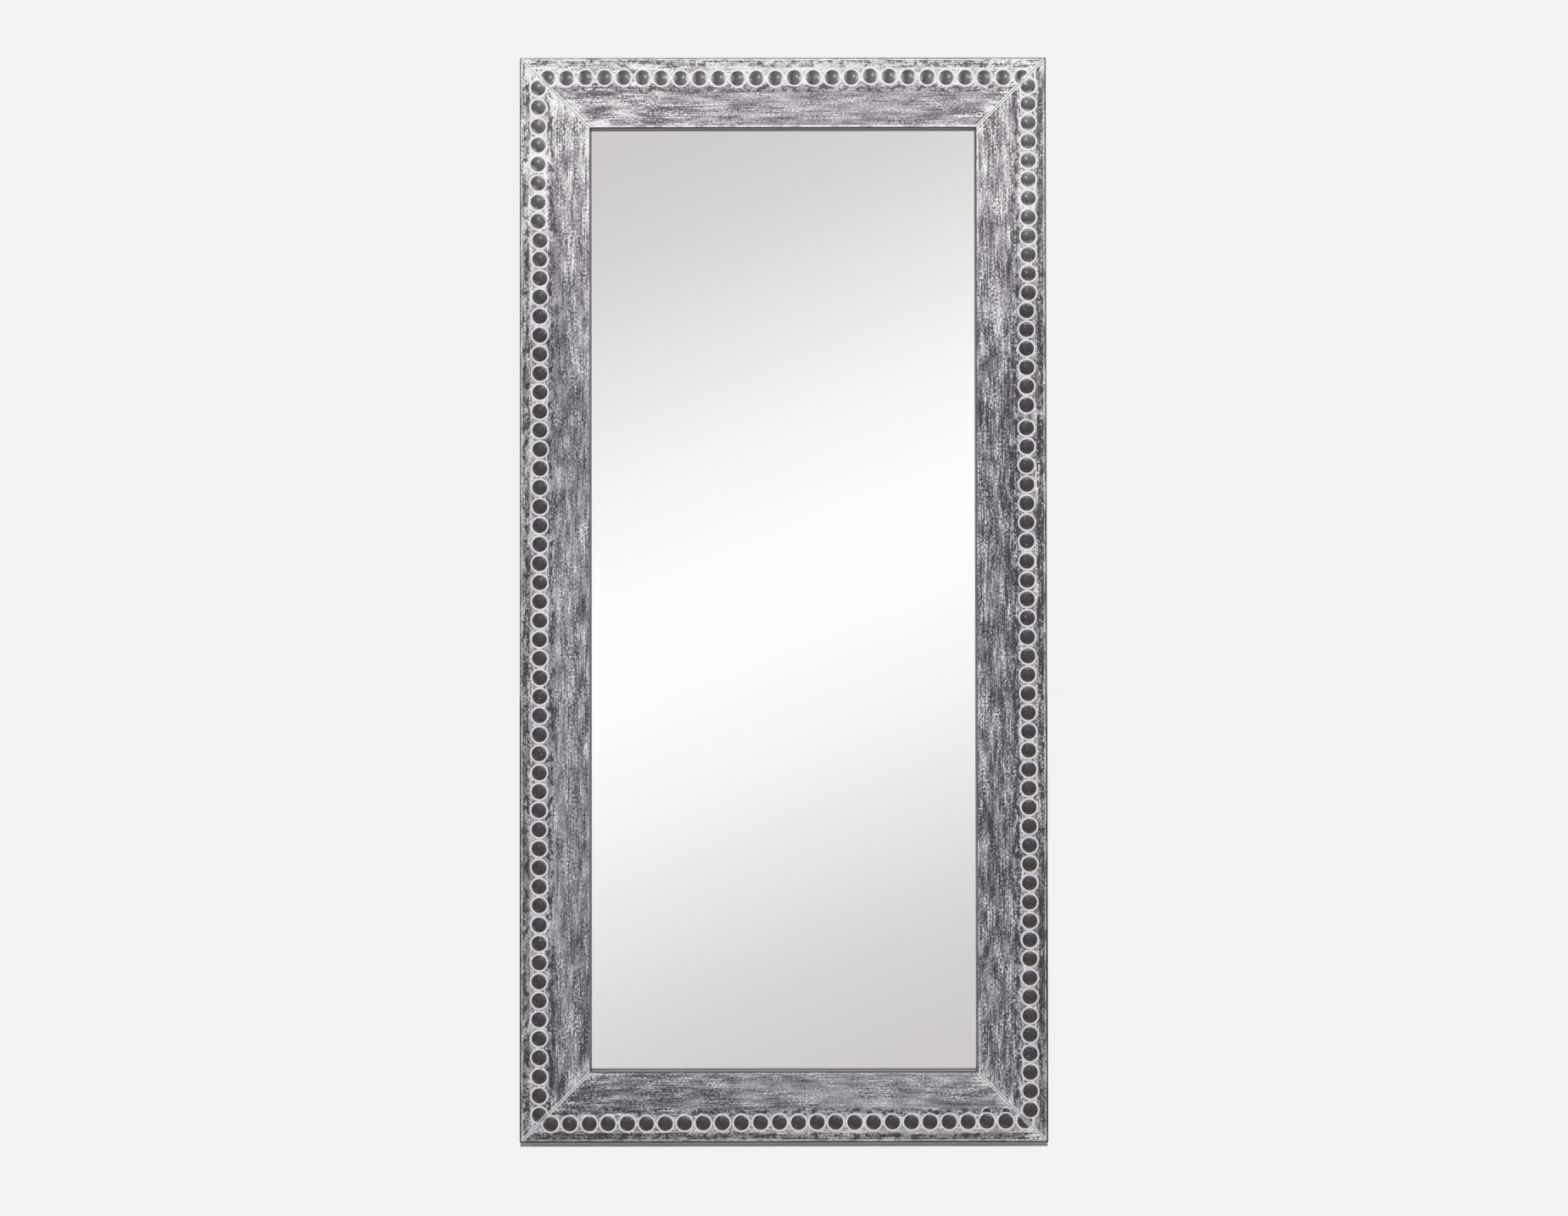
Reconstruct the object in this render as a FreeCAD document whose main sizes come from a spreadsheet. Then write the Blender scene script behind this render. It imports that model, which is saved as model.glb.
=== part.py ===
import FreeCAD, Part
import math
import os
import re

import Sketcher

# Driving sizes of the mirror, in millimetres
SIZES = {
    # The frame as a whole, seen from the front
    "overall_width": 889,
    "overall_height": 1829,
    "rail_width": 119,
    # How far the glass lies behind the face of the rails
    "mirror_recess": 14,
    # Folded iron sheet of each rail
    "sheet_gauge": 0.8,
    "bend_radius": 2,
    "return_width": 14,
    "flange_width": 10,
    "seam_gap": 0.4,
    # Punched dimples
    "dish_radius": 12.6,
    "dish_depth": 4.5,
    "rim_width": 2.8,
    "rim_height": 0.7,
    "dimple_gap": 1.2,
    # The row of dimples: its line, and how far past the mitre it starts and ends
    "row_offset": 32,
    "row_lead_bottom": 19,
    "row_lead_top": 12,
    "row_lead_left": 18,
    "row_lead_right": 22,
    "row_end_least": 5,
    # Board core under the sheet
    "channel_clearance": 0.8,
    "rabbet_width": 12,
    # Glass, cushion sheet and back panel
    "glass_thickness": 5,
    "glass_bite": 10,
    "cushion_thickness": 5,
    "cushion_inset": 1,
    "panel_thickness": 6,
    "panel_lap": 25,
    # Setting blocks under the glass
    "block_length": 60,
    "block_inset": 120,
    # Dowels across each mitre of the core
    "dowel_radius": 4,
    "dowel_reach": 20,
    "dowel_chamfer": 1,
    "dowel_depth": 9,
    "dowel_outer_inset": 43,
    "dowel_inner_inset": 28,
    # Angle plates over the mitres, at the back
    "plate_thickness": 2,
    "plate_arm": 90,
    "plate_breadth": 18,
    "plate_inset": 22,
    "plate_corner_radius": 4,
    "plate_screw_end": 12,
    "plate_screw_spacing": 28,
    "plate_screw_length": 13,
    # Tacks through the sheet's back return
    "tack_head_radius": 2.8,
    "tack_head_height": 0.9,
    "tack_shank_radius": 0.9,
    "tack_length": 12,
    "tack_point": 3,
    "tack_end_gap": 60,
    "tack_spacing": 150,
    # Countersunk screws
    "screw_head_radius": 3.5,
    "screw_head_height": 2.2,
    "screw_shank_radius": 1.6,
    "screw_point": 3,
    "recess_length": 4.2,
    "recess_width": 1,
    "recess_depth": 1.1,
    "panel_screw_length": 16,
    "panel_screw_inset": 12,
    "panel_screw_end_gap": 55,
    "panel_screw_spacing": 260,
    "bore_slack": 0.1,
    # Strap hangers with their swinging rings
    "hanger_drop": 400,
    "strap_width": 20,
    "strap_length": 46,
    "strap_thickness": 2,
    "strap_ramp": 7,
    "strap_end_radius": 5,
    "eye_wall": 1,
    "eye_slack": 0.08,
    "ring_wire_radius": 1.75,
    "ring_side_gap": 1,
    "ring_bend_radius": 4,
    "ring_leg": 5,
    "ring_rest_gap": 0.3,
    "hanger_screw_drop": 15,
    "hanger_screw_spacing": 20,
    "hanger_screw_length": 15,
    # How far every cut runs past the solid that it cuts
    "cut_overrun": 5,
}

# Places and counts that follow from the driving sizes.
# Depths are measured along Y from the wall, so everything in front of it is negative.
FORMULAS = {
    "core_back": "-panel_thickness",
    "glass_back": "core_back - cushion_thickness",
    "glass_front": "glass_back - glass_thickness",
    "rail_front": "glass_front - mirror_recess",
    "core_front": "rail_front + sheet_gauge",
    "core_lip": "glass_front - sheet_gauge",
    "return_back": "core_back + sheet_gauge",
    "inner_bend": "bend_radius - sheet_gauge",
    "sheet_inside": "rail_width - sheet_gauge",
    "rabbet_wall": "rail_width - rabbet_width",
    "flange_end": "rail_width - flange_width",
    "glass_edge": "rail_width - glass_bite",
    "panel_edge": "rabbet_wall - panel_lap",
    "dish_curve": "(dish_radius^2 + dish_depth^2) / (2 * dish_depth)",
    "bulge_radius": "dish_radius + sheet_gauge",
    "bulge_curve": "(bulge_radius^2 + dish_depth^2) / (2 * dish_depth)",
    "dimple_radius": "dish_radius + rim_width",
    "rim_curve": "(rim_width^2 / 4 + rim_height^2) / (2 * rim_height)",
    "dimple_pitch": "2 * dimple_radius + dimple_gap",
    "channel_half": "bulge_radius + channel_clearance",
    "channel_floor": "core_front + dish_depth + channel_clearance",
    "row_room": "2 * row_offset + row_end_least",
    "row_count_bottom": "floor((overall_width - row_room - row_lead_bottom) / dimple_pitch) + 1",
    "row_count_top": "floor((overall_width - row_room - row_lead_top) / dimple_pitch) + 1",
    "row_count_left": "floor((overall_height - row_room - row_lead_left) / dimple_pitch) + 1",
    "row_count_right": "floor((overall_height - row_room - row_lead_right) / dimple_pitch) + 1",
    "bottom_row_length": "(row_count_bottom - 1) * dimple_pitch",
    "bottom_row_rest": "overall_width - row_offset - row_lead_bottom - bottom_row_length",
    "panel_screw_line": "panel_edge + panel_screw_inset",
    "panel_screw_end": "panel_edge + panel_screw_end_gap",
    "plate_outer": "plate_inset + plate_arm",
    "plate_inner": "plate_inset + plate_breadth",
    "plate_back": "core_back + plate_thickness",
    "plate_screw_line": "plate_inset + plate_breadth / 2",
    "plate_screw_first": "plate_outer - plate_screw_end - plate_screw_spacing",
    "dowel_spacing": "rabbet_wall - dowel_inner_inset - dowel_outer_inset",
    "hanger_line": "(return_width + panel_edge) / 2",
    "hanger_x": "overall_width / 2 - hanger_line",
    "hanger_z": "overall_height / 2 - hanger_drop",
    "strap_back": "core_back + strap_thickness",
    "eye_radius": "ring_wire_radius + eye_slack",
    "eye_outer": "eye_radius + eye_wall",
    "eye_depth": "core_back + eye_outer",
    "ring_bar_half": "strap_width / 2 + ring_side_gap",
    "ring_half": "ring_bar_half + ring_bend_radius",
    "ring_shoulder": "ring_bend_radius + ring_leg",
    "ring_reach": "ring_shoulder + ring_half",
    "ring_lean": "asin((eye_outer - ring_wire_radius - ring_rest_gap) / ring_reach)",
}

QUARTER_TURN = 90
HALF_QUARTER = QUARTER_TURN / 2
FULL_TURN = 4 * QUARTER_TURN
DEPTH_AXIS = FreeCAD.Vector(0, 1, 0)
SWING_AXIS = FreeCAD.Vector(1, 0, 0)

# Each rail is drawn lying along X with its outer edge down, then turned about the depth axis
RAILS = {
    "bottom": {"turn": 0, "length": "overall_width", "x": "0", "z": "-overall_height / 2"},
    "left": {"turn": 1, "length": "overall_height", "x": "-overall_width / 2", "z": "0"},
    "top": {"turn": 2, "length": "overall_width", "x": "0", "z": "overall_height / 2"},
    "right": {"turn": -1, "length": "overall_height", "x": "overall_width / 2", "z": "0"},
}

# Each corner is drawn as the lower left one, then turned the same way
CORNERS = {
    "bottom_left": {"turn": 0, "x": "-overall_width / 2", "z": "-overall_height / 2"},
    "top_left": {"turn": 1, "x": "-overall_width / 2", "z": "overall_height / 2"},
    "top_right": {"turn": 2, "x": "overall_width / 2", "z": "overall_height / 2"},
    "bottom_right": {"turn": -1, "x": "overall_width / 2", "z": "-overall_height / 2"},
}
CORNERS_OF_RAIL = {
    "bottom": ("bottom_left", "bottom_right"),
    "left": ("bottom_left", "top_left"),
    "top": ("top_left", "top_right"),
    "right": ("bottom_right", "top_right"),
}
SIDES = {"left": "-", "right": ""}

ALIAS = re.compile(r"\b[a-z]+(?:_[a-z]+)+\b")
CLOCKWISE = -1
COUNTERCLOCKWISE = 1
NO_SLACK = "0"

doc = FreeCAD.newDocument("iron_framed_mirror")
sheet = doc.addObject("Spreadsheet::Sheet", "Sizes")
pieces = []


def fill_sheet():
    """Driving sizes in columns A and B, derived ones in D and E."""
    for row, (name, size) in enumerate(SIZES.items(), start=1):
        sheet.set(f"A{row}", name)
        sheet.set(f"B{row}", str(size))
        sheet.setAlias(f"B{row}", name)
    for row, (name, formula) in enumerate(FORMULAS.items(), start=1):
        sheet.set(f"D{row}", name)
        sheet.set(f"E{row}", f"={formula}")
        sheet.setAlias(f"E{row}", name)
    doc.recompute()


def value(formula):
    return float(sheet.evalExpression(formula))


def bound(formula):
    """The formula as the other objects of the document write it."""
    return ALIAS.sub(r"Sizes.\g<0>", formula)


def bind(item, path, formula):
    item.setExpression(path, bound(formula))


def place(item, frame, turn_more=0):
    """Stand a piece in the frame of its rail or corner."""
    angle = frame["turn"] * QUARTER_TURN + turn_more
    item.Placement = FreeCAD.Placement(FreeCAD.Vector(), FreeCAD.Rotation(DEPTH_AXIS, angle))
    bind(item, "Placement.Base.x", frame["x"])
    bind(item, "Placement.Base.z", frame["z"])


def new_body(label):
    body = doc.addObject("PartDesign::Body", label)
    body.Label = label
    return body


def keep(piece, label):
    """Name a finished piece and list it for export."""
    piece.Label = label
    pieces.append(piece)
    return piece


def sketch_on(body, name, role, x="0", y="0", depth="0"):
    """A sketch on one of the body's own planes, moved along that plane's axes."""
    sketch = body.newObject("Sketcher::SketchObject", name)
    plane = next(feature for feature in body.Origin.OriginFeatures if feature.Role == role)
    sketch.AttachmentSupport = [(plane, "")]
    sketch.MapMode = "FlatFace"
    for axis, formula in (("x", x), ("y", y), ("z", depth)):
        bind(sketch, f"AttachmentOffset.Base.{axis}", formula)
    return sketch


def arc_between(start, end, radius, turn):
    """The short arc from start to end, with its centre to the left or the right of the way."""
    half = (end - start) / 2
    side = FreeCAD.Vector(-half.y, half.x, 0).normalize() * turn
    centre = start + half + side * math.sqrt(max(radius**2 - half.Length**2, 0))
    ends = (start, end) if turn == COUNTERCLOCKWISE else (end, start)
    angles = [math.atan2(point.y - centre.y, point.x - centre.x) for point in ends]
    return Part.ArcOfCircle(Part.Circle(centre, FreeCAD.Vector(0, 0, 1), radius), *angles)


def constrain(sketch, kind, places, formula):
    index = sketch.addConstraint(Sketcher.Constraint(kind, *places, value(formula)))
    bind(sketch, f"Constraints[{index}]", formula)


def draw_outline(sketch, corners):
    """A closed outline. A corner is (across, up), or (across, up, radius, turn) if an arc leaves it."""
    points = [FreeCAD.Vector(value(corner[0]), value(corner[1]), 0) for corner in corners]
    starts = []
    ends = []
    for index, corner in enumerate(corners):
        start = points[index]
        end = points[(index + 1) % len(points)]
        if len(corner) == 2:
            edge = sketch.addGeometry(Part.LineSegment(start, end))
            turn = COUNTERCLOCKWISE
        else:
            radius, turn = corner[2:]
            edge = sketch.addGeometry(arc_between(start, end, value(radius), turn))
            constrain(sketch, "Radius", (edge,), radius)
        starts.append((edge, 1 if turn == COUNTERCLOCKWISE else 2))
        ends.append((edge, 2 if turn == COUNTERCLOCKWISE else 1))
    for index, corner in enumerate(corners):
        sketch.addConstraint(Sketcher.Constraint("Coincident", *ends[index - 1], *starts[index]))
        constrain(sketch, "DistanceX", (-1, 1, *starts[index]), corner[0])
        constrain(sketch, "DistanceY", (-1, 1, *starts[index]), corner[1])


def draw_circle(sketch, across, up, radius):
    centre = FreeCAD.Vector(value(across), value(up), 0)
    edge = sketch.addGeometry(Part.Circle(centre, FreeCAD.Vector(0, 0, 1), value(radius)))
    constrain(sketch, "Radius", (edge,), radius)
    constrain(sketch, "DistanceX", (-1, 1, edge, 3), across)
    constrain(sketch, "DistanceY", (-1, 1, edge, 3), up)


def add_feature(body, kind, name, profile):
    feature = body.newObject(f"PartDesign::{kind}", name)
    feature.Profile = profile
    body.Tip = feature
    return feature


def pad(body, name, profile, length, side="Symmetric", backwards=False):
    feature = add_feature(body, "Pad", name, profile)
    feature.SideType = side
    feature.Reversed = backwards
    bind(feature, "Length", length)
    return feature


def turn_profile(body, kind, name, profile):
    """Turn a profile about the upright axis of its sketch."""
    feature = add_feature(body, kind, name, profile)
    feature.ReferenceAxis = (profile, ["V_Axis"])
    feature.Angle = FULL_TURN
    return feature


def repeat(body, name, originals, direction, spacing, count):
    pattern = body.newObject("PartDesign::LinearPattern", name)
    pattern.Originals = originals
    pattern.Direction = direction
    pattern.Mode = "Spacing"
    bind(pattern, "Offset", spacing)
    bind(pattern, "Occurrences", count)
    body.Tip = pattern
    return pattern


def drill(label, blank, bores):
    """The finished piece: its blank with the bores cut out."""
    tool = doc.addObject("Part::Compound", f"{label}_bores")
    tool.Links = bores
    piece = doc.addObject("Part::Cut", label)
    piece.Base = blank
    piece.Tool = tool
    return keep(piece, label)


def add_box(label, sides, corner):
    """A plain board or sheet, by its sides and its lowest corner."""
    box = doc.addObject("Part::Box", label)
    for path, formula in zip(("Length", "Width", "Height"), sides):
        bind(box, path, formula)
    for axis, formula in zip("xyz", corner):
        bind(box, f"Placement.Base.{axis}", formula)
    return box


def cut_mitres(body, length, gap):
    """Cut both ends of a rail at 45 degrees, each short of the seam by the gap."""
    sketch = sketch_on(body, "mitre_lines", "XZ_Plane")
    for sign in ("", "-"):
        draw_outline(sketch, [
            (f"{sign}({length} / 2 + cut_overrun - {gap})", "-cut_overrun"),
            (f"{sign}({length} / 2 - rail_width - cut_overrun - {gap})", "rail_width + cut_overrun"),
            (f"{sign}({length} / 2 + 2 * cut_overrun)", "rail_width + cut_overrun"),
            (f"{sign}({length} / 2 + 2 * cut_overrun)", "-cut_overrun"),
        ])
    pocket = add_feature(body, "Pocket", "mitre_cut", sketch)
    pocket.Type = "ThroughAll"
    pocket.SideType = "Symmetric"


def add_dimple(body, name, x, z):
    """One punched dimple: a dished boss with a raised rim, then the dish hollowed out of it."""
    boss_profile = sketch_on(body, f"{name}_boss_profile", "XY_Plane", x=x, depth=z)
    draw_outline(boss_profile, [
        ("0", "core_front + dish_depth", "bulge_curve", CLOCKWISE),
        ("bulge_radius", "core_front"),
        ("dimple_radius", "rail_front + sheet_gauge / 2"),
        ("dimple_radius", "rail_front", "rim_curve", CLOCKWISE),
        ("dish_radius", "rail_front"),
        ("0", "rail_front"),
    ])
    boss = turn_profile(body, "Revolution", f"{name}_boss", boss_profile)
    dish_profile = sketch_on(body, f"{name}_dish_profile", "XY_Plane", x=x, depth=z)
    draw_outline(dish_profile, [
        ("0", "rail_front + dish_depth", "dish_curve", CLOCKWISE),
        ("dish_radius", "rail_front"),
        ("dish_radius", "rail_front - cut_overrun"),
        ("0", "rail_front - cut_overrun"),
    ])
    dish = turn_profile(body, "Groove", f"{name}_dish", dish_profile)
    return boss, dish


def fold_sheet(body, length):
    """The folded sheet: back return, outer wall, face, inner wall and the flange before the glass."""
    sketch = sketch_on(body, "fold_profile", "YZ_Plane")
    draw_outline(sketch, [
        ("return_back", "return_width"),
        ("return_back", "bend_radius", "bend_radius", CLOCKWISE),
        ("return_back - bend_radius", "0"),
        ("rail_front + bend_radius", "0", "bend_radius", CLOCKWISE),
        ("rail_front", "bend_radius"),
        ("rail_front", "rail_width - bend_radius", "bend_radius", CLOCKWISE),
        ("rail_front + bend_radius", "rail_width"),
        ("glass_front - bend_radius", "rail_width", "bend_radius", CLOCKWISE),
        ("glass_front", "rail_width - bend_radius"),
        ("glass_front", "flange_end"),
        ("core_lip", "flange_end"),
        ("core_lip", "sheet_inside - inner_bend", "inner_bend", COUNTERCLOCKWISE),
        ("core_lip - inner_bend", "sheet_inside"),
        ("core_front + inner_bend", "sheet_inside", "inner_bend", COUNTERCLOCKWISE),
        ("core_front", "sheet_inside - inner_bend"),
        ("core_front", "bend_radius", "inner_bend", COUNTERCLOCKWISE),
        ("core_front + inner_bend", "sheet_gauge"),
        ("core_back - inner_bend", "sheet_gauge", "inner_bend", COUNTERCLOCKWISE),
        ("core_back", "bend_radius"),
        ("core_back", "return_width"),
    ])
    pad(body, "fold", sketch, length)


def add_cladding(name, tack_bores):
    """A mitred iron rail with its row of dimples."""
    rail = RAILS[name]
    length = rail["length"]
    body = new_body(f"cladding_{name}_blank")
    fold_sheet(body, length)
    start = f"row_offset + row_lead_{name} - {length} / 2"
    originals = add_dimple(body, "row", start, "row_offset")
    along = (originals[0].Profile[0], ["H_Axis"])
    repeat(body, "dimple_row", originals, along, "dimple_pitch", f"row_count_{name}")
    if name == "right":
        # The last dimple of the bottom row is struck across the seam into this rail
        add_dimple(body, "corner", f"row_offset - {length} / 2", "bottom_row_rest")
    cut_mitres(body, length, "seam_gap / sqrt(2)")
    place(body, rail)
    drill(f"cladding_{name}", body, [tack_bores])


def add_core(name, bores):
    """A mitred board with a channel under the dimples and a rabbet for the glass."""
    rail = RAILS[name]
    body = new_body(f"core_{name}_blank")
    sketch = sketch_on(body, "board_profile", "YZ_Plane")
    relief = "bend_radius"
    draw_outline(sketch, [
        ("core_back", f"sheet_gauge + {relief}"),
        (f"core_back - {relief}", "sheet_gauge"),
        (f"core_front + {relief}", "sheet_gauge"),
        ("core_front", f"sheet_gauge + {relief}"),
        ("core_front", "row_offset - channel_half"),
        ("channel_floor", "row_offset - channel_half"),
        ("channel_floor", "row_offset + channel_half"),
        ("core_front", "row_offset + channel_half"),
        ("core_front", f"sheet_inside - {relief}"),
        (f"core_front + {relief}", "sheet_inside"),
        (f"core_lip - {relief}", "sheet_inside"),
        ("core_lip", f"sheet_inside - {relief}"),
        ("core_lip", "rabbet_wall"),
        ("core_back", "rabbet_wall"),
    ])
    pad(body, "board", sketch, rail["length"])
    cut_mitres(body, rail["length"], NO_SLACK)
    place(body, rail)
    drill(f"core_{name}", body, bores)


def screw_outline(top, length):
    """Half outline of a countersunk screw that points to the front."""
    return [
        ("0", top),
        ("screw_head_radius", top),
        ("screw_shank_radius", f"{top} - screw_head_height"),
        ("screw_shank_radius", f"{top} - {length} + screw_point"),
        ("0", f"{top} - {length}"),
    ]


def bore_outline(top, length):
    """Half outline of that screw's bore, wider by the slack and open at the top."""
    return [
        ("0", f"{top} + cut_overrun"),
        ("screw_head_radius + bore_slack", f"{top} + cut_overrun"),
        ("screw_head_radius + bore_slack", top),
        ("screw_shank_radius + bore_slack", f"{top} - screw_head_height"),
        ("screw_shank_radius + bore_slack", f"{top} - {length} + screw_point - bore_slack"),
        ("0", f"{top} - {length} - bore_slack"),
    ]


def add_recess(body, top, x, z):
    """The cross recess in a screw head."""
    sketch = sketch_on(body, "recess_outline", "XZ_Plane", x=x, y=z, depth=f"-({top})")
    arm = "recess_length / 2"
    half = "recess_width / 2"
    draw_outline(sketch, [
        (f"-{half}", f"-{arm}"),
        (half, f"-{arm}"),
        (half, f"-{half}"),
        (arm, f"-{half}"),
        (arm, half),
        (half, half),
        (half, arm),
        (f"-{half}", arm),
        (f"-{half}", half),
        (f"-{arm}", half),
        (f"-{arm}", f"-{half}"),
        (f"-{half}", f"-{half}"),
    ])
    recess = add_feature(body, "Pocket", "recess", sketch)
    recess.Reversed = True
    bind(recess, "Length", "recess_depth")
    return recess


def add_screws(label, frame, top, length, rows):
    """Screws in one or more rows, as one piece, and the wider body that cuts their bores."""
    screws = new_body(label)
    bores = new_body(f"{label}_bores")
    for x, z, along, spacing, count in rows:
        profile = sketch_on(screws, "screw_profile", "XY_Plane", x=x, depth=z)
        draw_outline(profile, screw_outline(top, length))
        shank = turn_profile(screws, "Revolution", "screw", profile)
        recess = add_recess(screws, top, x, z)
        repeat(screws, "screw_row", [shank, recess], (recess.Profile[0], [along]), spacing, count)
        bore_profile = sketch_on(bores, "bore_profile", "XY_Plane", x=x, depth=z)
        draw_outline(bore_profile, bore_outline(top, length))
        bore = turn_profile(bores, "Revolution", "bore", bore_profile)
        guide = sketch_on(bores, "row_guide", "XZ_Plane")
        repeat(bores, "bore_row", [bore], (guide, [along]), spacing, count)
    place(screws, frame)
    place(bores, frame)
    keep(screws, label)
    return bores


def row_count(room, spacing):
    return f"ceil(({room}) / {spacing}) + 1"


def row_spacing(room, spacing):
    return f"({room}) / ceil(({room}) / {spacing})"


def add_panel_screws(name):
    """Screws through one edge of the back panel into the core behind that rail."""
    rail = RAILS[name]
    room = f"{rail['length']} - 2 * panel_screw_end"
    row = (f"-({room}) / 2", "panel_screw_line", "H_Axis",
           row_spacing(room, "panel_screw_spacing"), row_count(room, "panel_screw_spacing"))
    return add_screws(f"back_panel_screws_{name}", rail, "0", "panel_screw_length", [row])


def add_tacks(name):
    """Tacks through the back return of one rail, and the row that cuts their bores."""
    rail = RAILS[name]
    room = f"{rail['length']} - 2 * tack_end_gap"
    row = []
    for label, slack in ((f"cladding_tacks_{name}", NO_SLACK), (f"tack_bores_{name}", "bore_slack")):
        body = new_body(label)
        profile = sketch_on(body, "tack_profile", "XY_Plane", x=f"-({room}) / 2", depth="return_width / 2")
        draw_outline(profile, [
            ("0", "return_back + tack_head_height"),
            (f"tack_head_radius + {slack}", "return_back"),
            (f"tack_shank_radius + {slack}", "return_back"),
            (f"tack_shank_radius + {slack}", f"return_back - tack_length + tack_point - {slack}"),
            ("0", f"return_back - tack_length - {slack}"),
        ])
        tack = turn_profile(body, "Revolution", "tack", profile)
        repeat(body, "tack_row", [tack], (profile, ["H_Axis"]),
               row_spacing(room, "tack_spacing"), row_count(room, "tack_spacing"))
        place(body, rail)
        row.append(body)
    keep(row[0], f"cladding_tacks_{name}")
    return row[1]


def add_dowels(name):
    """Two dowels square across one mitre of the core, and the wider ones that cut their bores."""
    row = []
    reach = "dowel_reach"
    for label, slack in ((f"mitre_dowels_{name}", NO_SLACK), (f"dowel_bores_{name}", "bore_slack")):
        body = new_body(label)
        profile = sketch_on(body, "dowel_profile", "XZ_Plane",
                            y="dowel_outer_inset * sqrt(2)", depth="dowel_depth - core_back")
        radius = f"dowel_radius + {slack}"
        draw_outline(profile, [
            (f"-{reach} - {slack}", "0"),
            (f"{reach} + {slack}", "0"),
            (f"{reach} + {slack}", f"{radius} - dowel_chamfer"),
            (f"{reach} + {slack} - dowel_chamfer", radius),
            (f"-{reach} - {slack} + dowel_chamfer", radius),
            (f"-{reach} - {slack}", f"{radius} - dowel_chamfer"),
        ])
        dowel = add_feature(body, "Revolution", "dowel", profile)
        dowel.ReferenceAxis = (profile, ["H_Axis"])
        dowel.Angle = FULL_TURN
        repeat(body, "dowel_pair", [dowel], (profile, ["V_Axis"]), "dowel_spacing * sqrt(2)", "2")
        place(body, CORNERS[name], HALF_QUARTER)
        row.append(body)
    keep(row[0], f"mitre_dowels_{name}")
    return row[1]


def add_corner_plate(name):
    """A flat steel angle over one mitre, with two screws in each arm."""
    corner = CORNERS[name]
    bores = add_screws(f"corner_plate_screws_{name}", corner, "plate_back", "plate_screw_length", [
        ("plate_screw_first", "plate_screw_line", "H_Axis", "plate_screw_spacing", "2"),
        ("plate_screw_line", "plate_screw_first", "V_Axis", "plate_screw_spacing", "2"),
    ])
    body = new_body(f"corner_plate_{name}_blank")
    sketch = sketch_on(body, "plate_outline", "XZ_Plane", depth="-core_back")
    curve = "plate_corner_radius"
    draw_outline(sketch, [
        (f"plate_inset + {curve}", "plate_inset"),
        (f"plate_outer - {curve}", "plate_inset", curve, COUNTERCLOCKWISE),
        ("plate_outer", f"plate_inset + {curve}"),
        ("plate_outer", f"plate_inner - {curve}", curve, COUNTERCLOCKWISE),
        (f"plate_outer - {curve}", "plate_inner"),
        ("plate_inner", "plate_inner"),
        ("plate_inner", f"plate_outer - {curve}", curve, COUNTERCLOCKWISE),
        (f"plate_inner - {curve}", "plate_outer"),
        (f"plate_inset + {curve}", "plate_outer", curve, COUNTERCLOCKWISE),
        ("plate_inset", f"plate_outer - {curve}"),
        ("plate_inset", f"plate_inset + {curve}", curve, COUNTERCLOCKWISE),
    ])
    pad(body, "plate", sketch, "plate_thickness", side="One side", backwards=True)
    place(body, corner)
    drill(f"corner_plate_{name}", body, [bores])
    return bores


def add_hanger(side, sign):
    """A strap with a rolled eye, its screws, and the ring that swings in the eye."""
    frame = {"turn": 0, "x": f"{sign}hanger_x", "z": "hanger_z"}
    lowest = "-hanger_screw_drop - hanger_screw_spacing"
    bores = add_screws(f"hanger_screws_{side}", frame, "strap_back", "hanger_screw_length",
                       [("0", lowest, "V_Axis", "hanger_screw_spacing", "2")])
    strap = new_body(f"hanger_strap_{side}_blank")
    sketch = sketch_on(strap, "strap_profile", "YZ_Plane")
    draw_outline(sketch, [
        ("core_back", "0", "eye_outer", CLOCKWISE),
        ("eye_depth", "eye_outer", "eye_outer", CLOCKWISE),
        ("eye_depth + eye_outer", "0"),
        ("strap_back", "-strap_ramp"),
        ("strap_back", "-strap_length"),
        ("core_back", "-strap_length"),
    ])
    draw_circle(sketch, "eye_depth", "0", "eye_radius")
    strap_pad = pad(strap, "strap", sketch, "strap_width")
    doc.recompute()
    lower_edges = [
        f"Edge{index}" for index, edge in enumerate(strap_pad.Shape.Edges, start=1)
        if all(math.isclose(vertex.Z, -value("strap_length")) for vertex in edge.Vertexes)
        and math.isclose(edge.Vertexes[0].X, edge.Vertexes[-1].X)
    ]
    fillet = strap.newObject("PartDesign::Fillet", "strap_end")
    fillet.Base = (strap_pad, lower_edges)
    bind(fillet, "Radius", "strap_end_radius")
    strap.Tip = fillet
    place(strap, frame)
    drill(f"hanger_strap_{side}", strap, [bores])
    add_ring(side, frame)
    return bores


def add_ring(side, frame):
    """A bent wire ring, straight through the eye and round above it, leaning on the board."""
    ring = keep(new_body(f"hanger_ring_{side}"), f"hanger_ring_{side}")
    spine = sketch_on(ring, "ring_line", "XZ_Plane")
    bend = "ring_bend_radius"
    draw_outline(spine, [
        ("0", "0"),
        ("ring_bar_half", "0", bend, COUNTERCLOCKWISE),
        ("ring_half", bend),
        ("ring_half", "ring_shoulder", "ring_half", COUNTERCLOCKWISE),
        ("0", "ring_reach", "ring_half", COUNTERCLOCKWISE),
        ("-ring_half", "ring_shoulder"),
        ("-ring_half", bend, bend, COUNTERCLOCKWISE),
        ("-ring_bar_half", "0"),
    ])
    wire = sketch_on(ring, "wire_section", "YZ_Plane")
    draw_circle(wire, "0", "0", "ring_wire_radius")
    pipe = add_feature(ring, "AdditivePipe", "ring", wire)
    pipe.Spine = spine
    place(ring, frame)
    ring.Placement.Rotation = FreeCAD.Rotation(SWING_AXIS, value("ring_lean"))
    bind(ring, "Placement.Base.y", "eye_depth")


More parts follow.
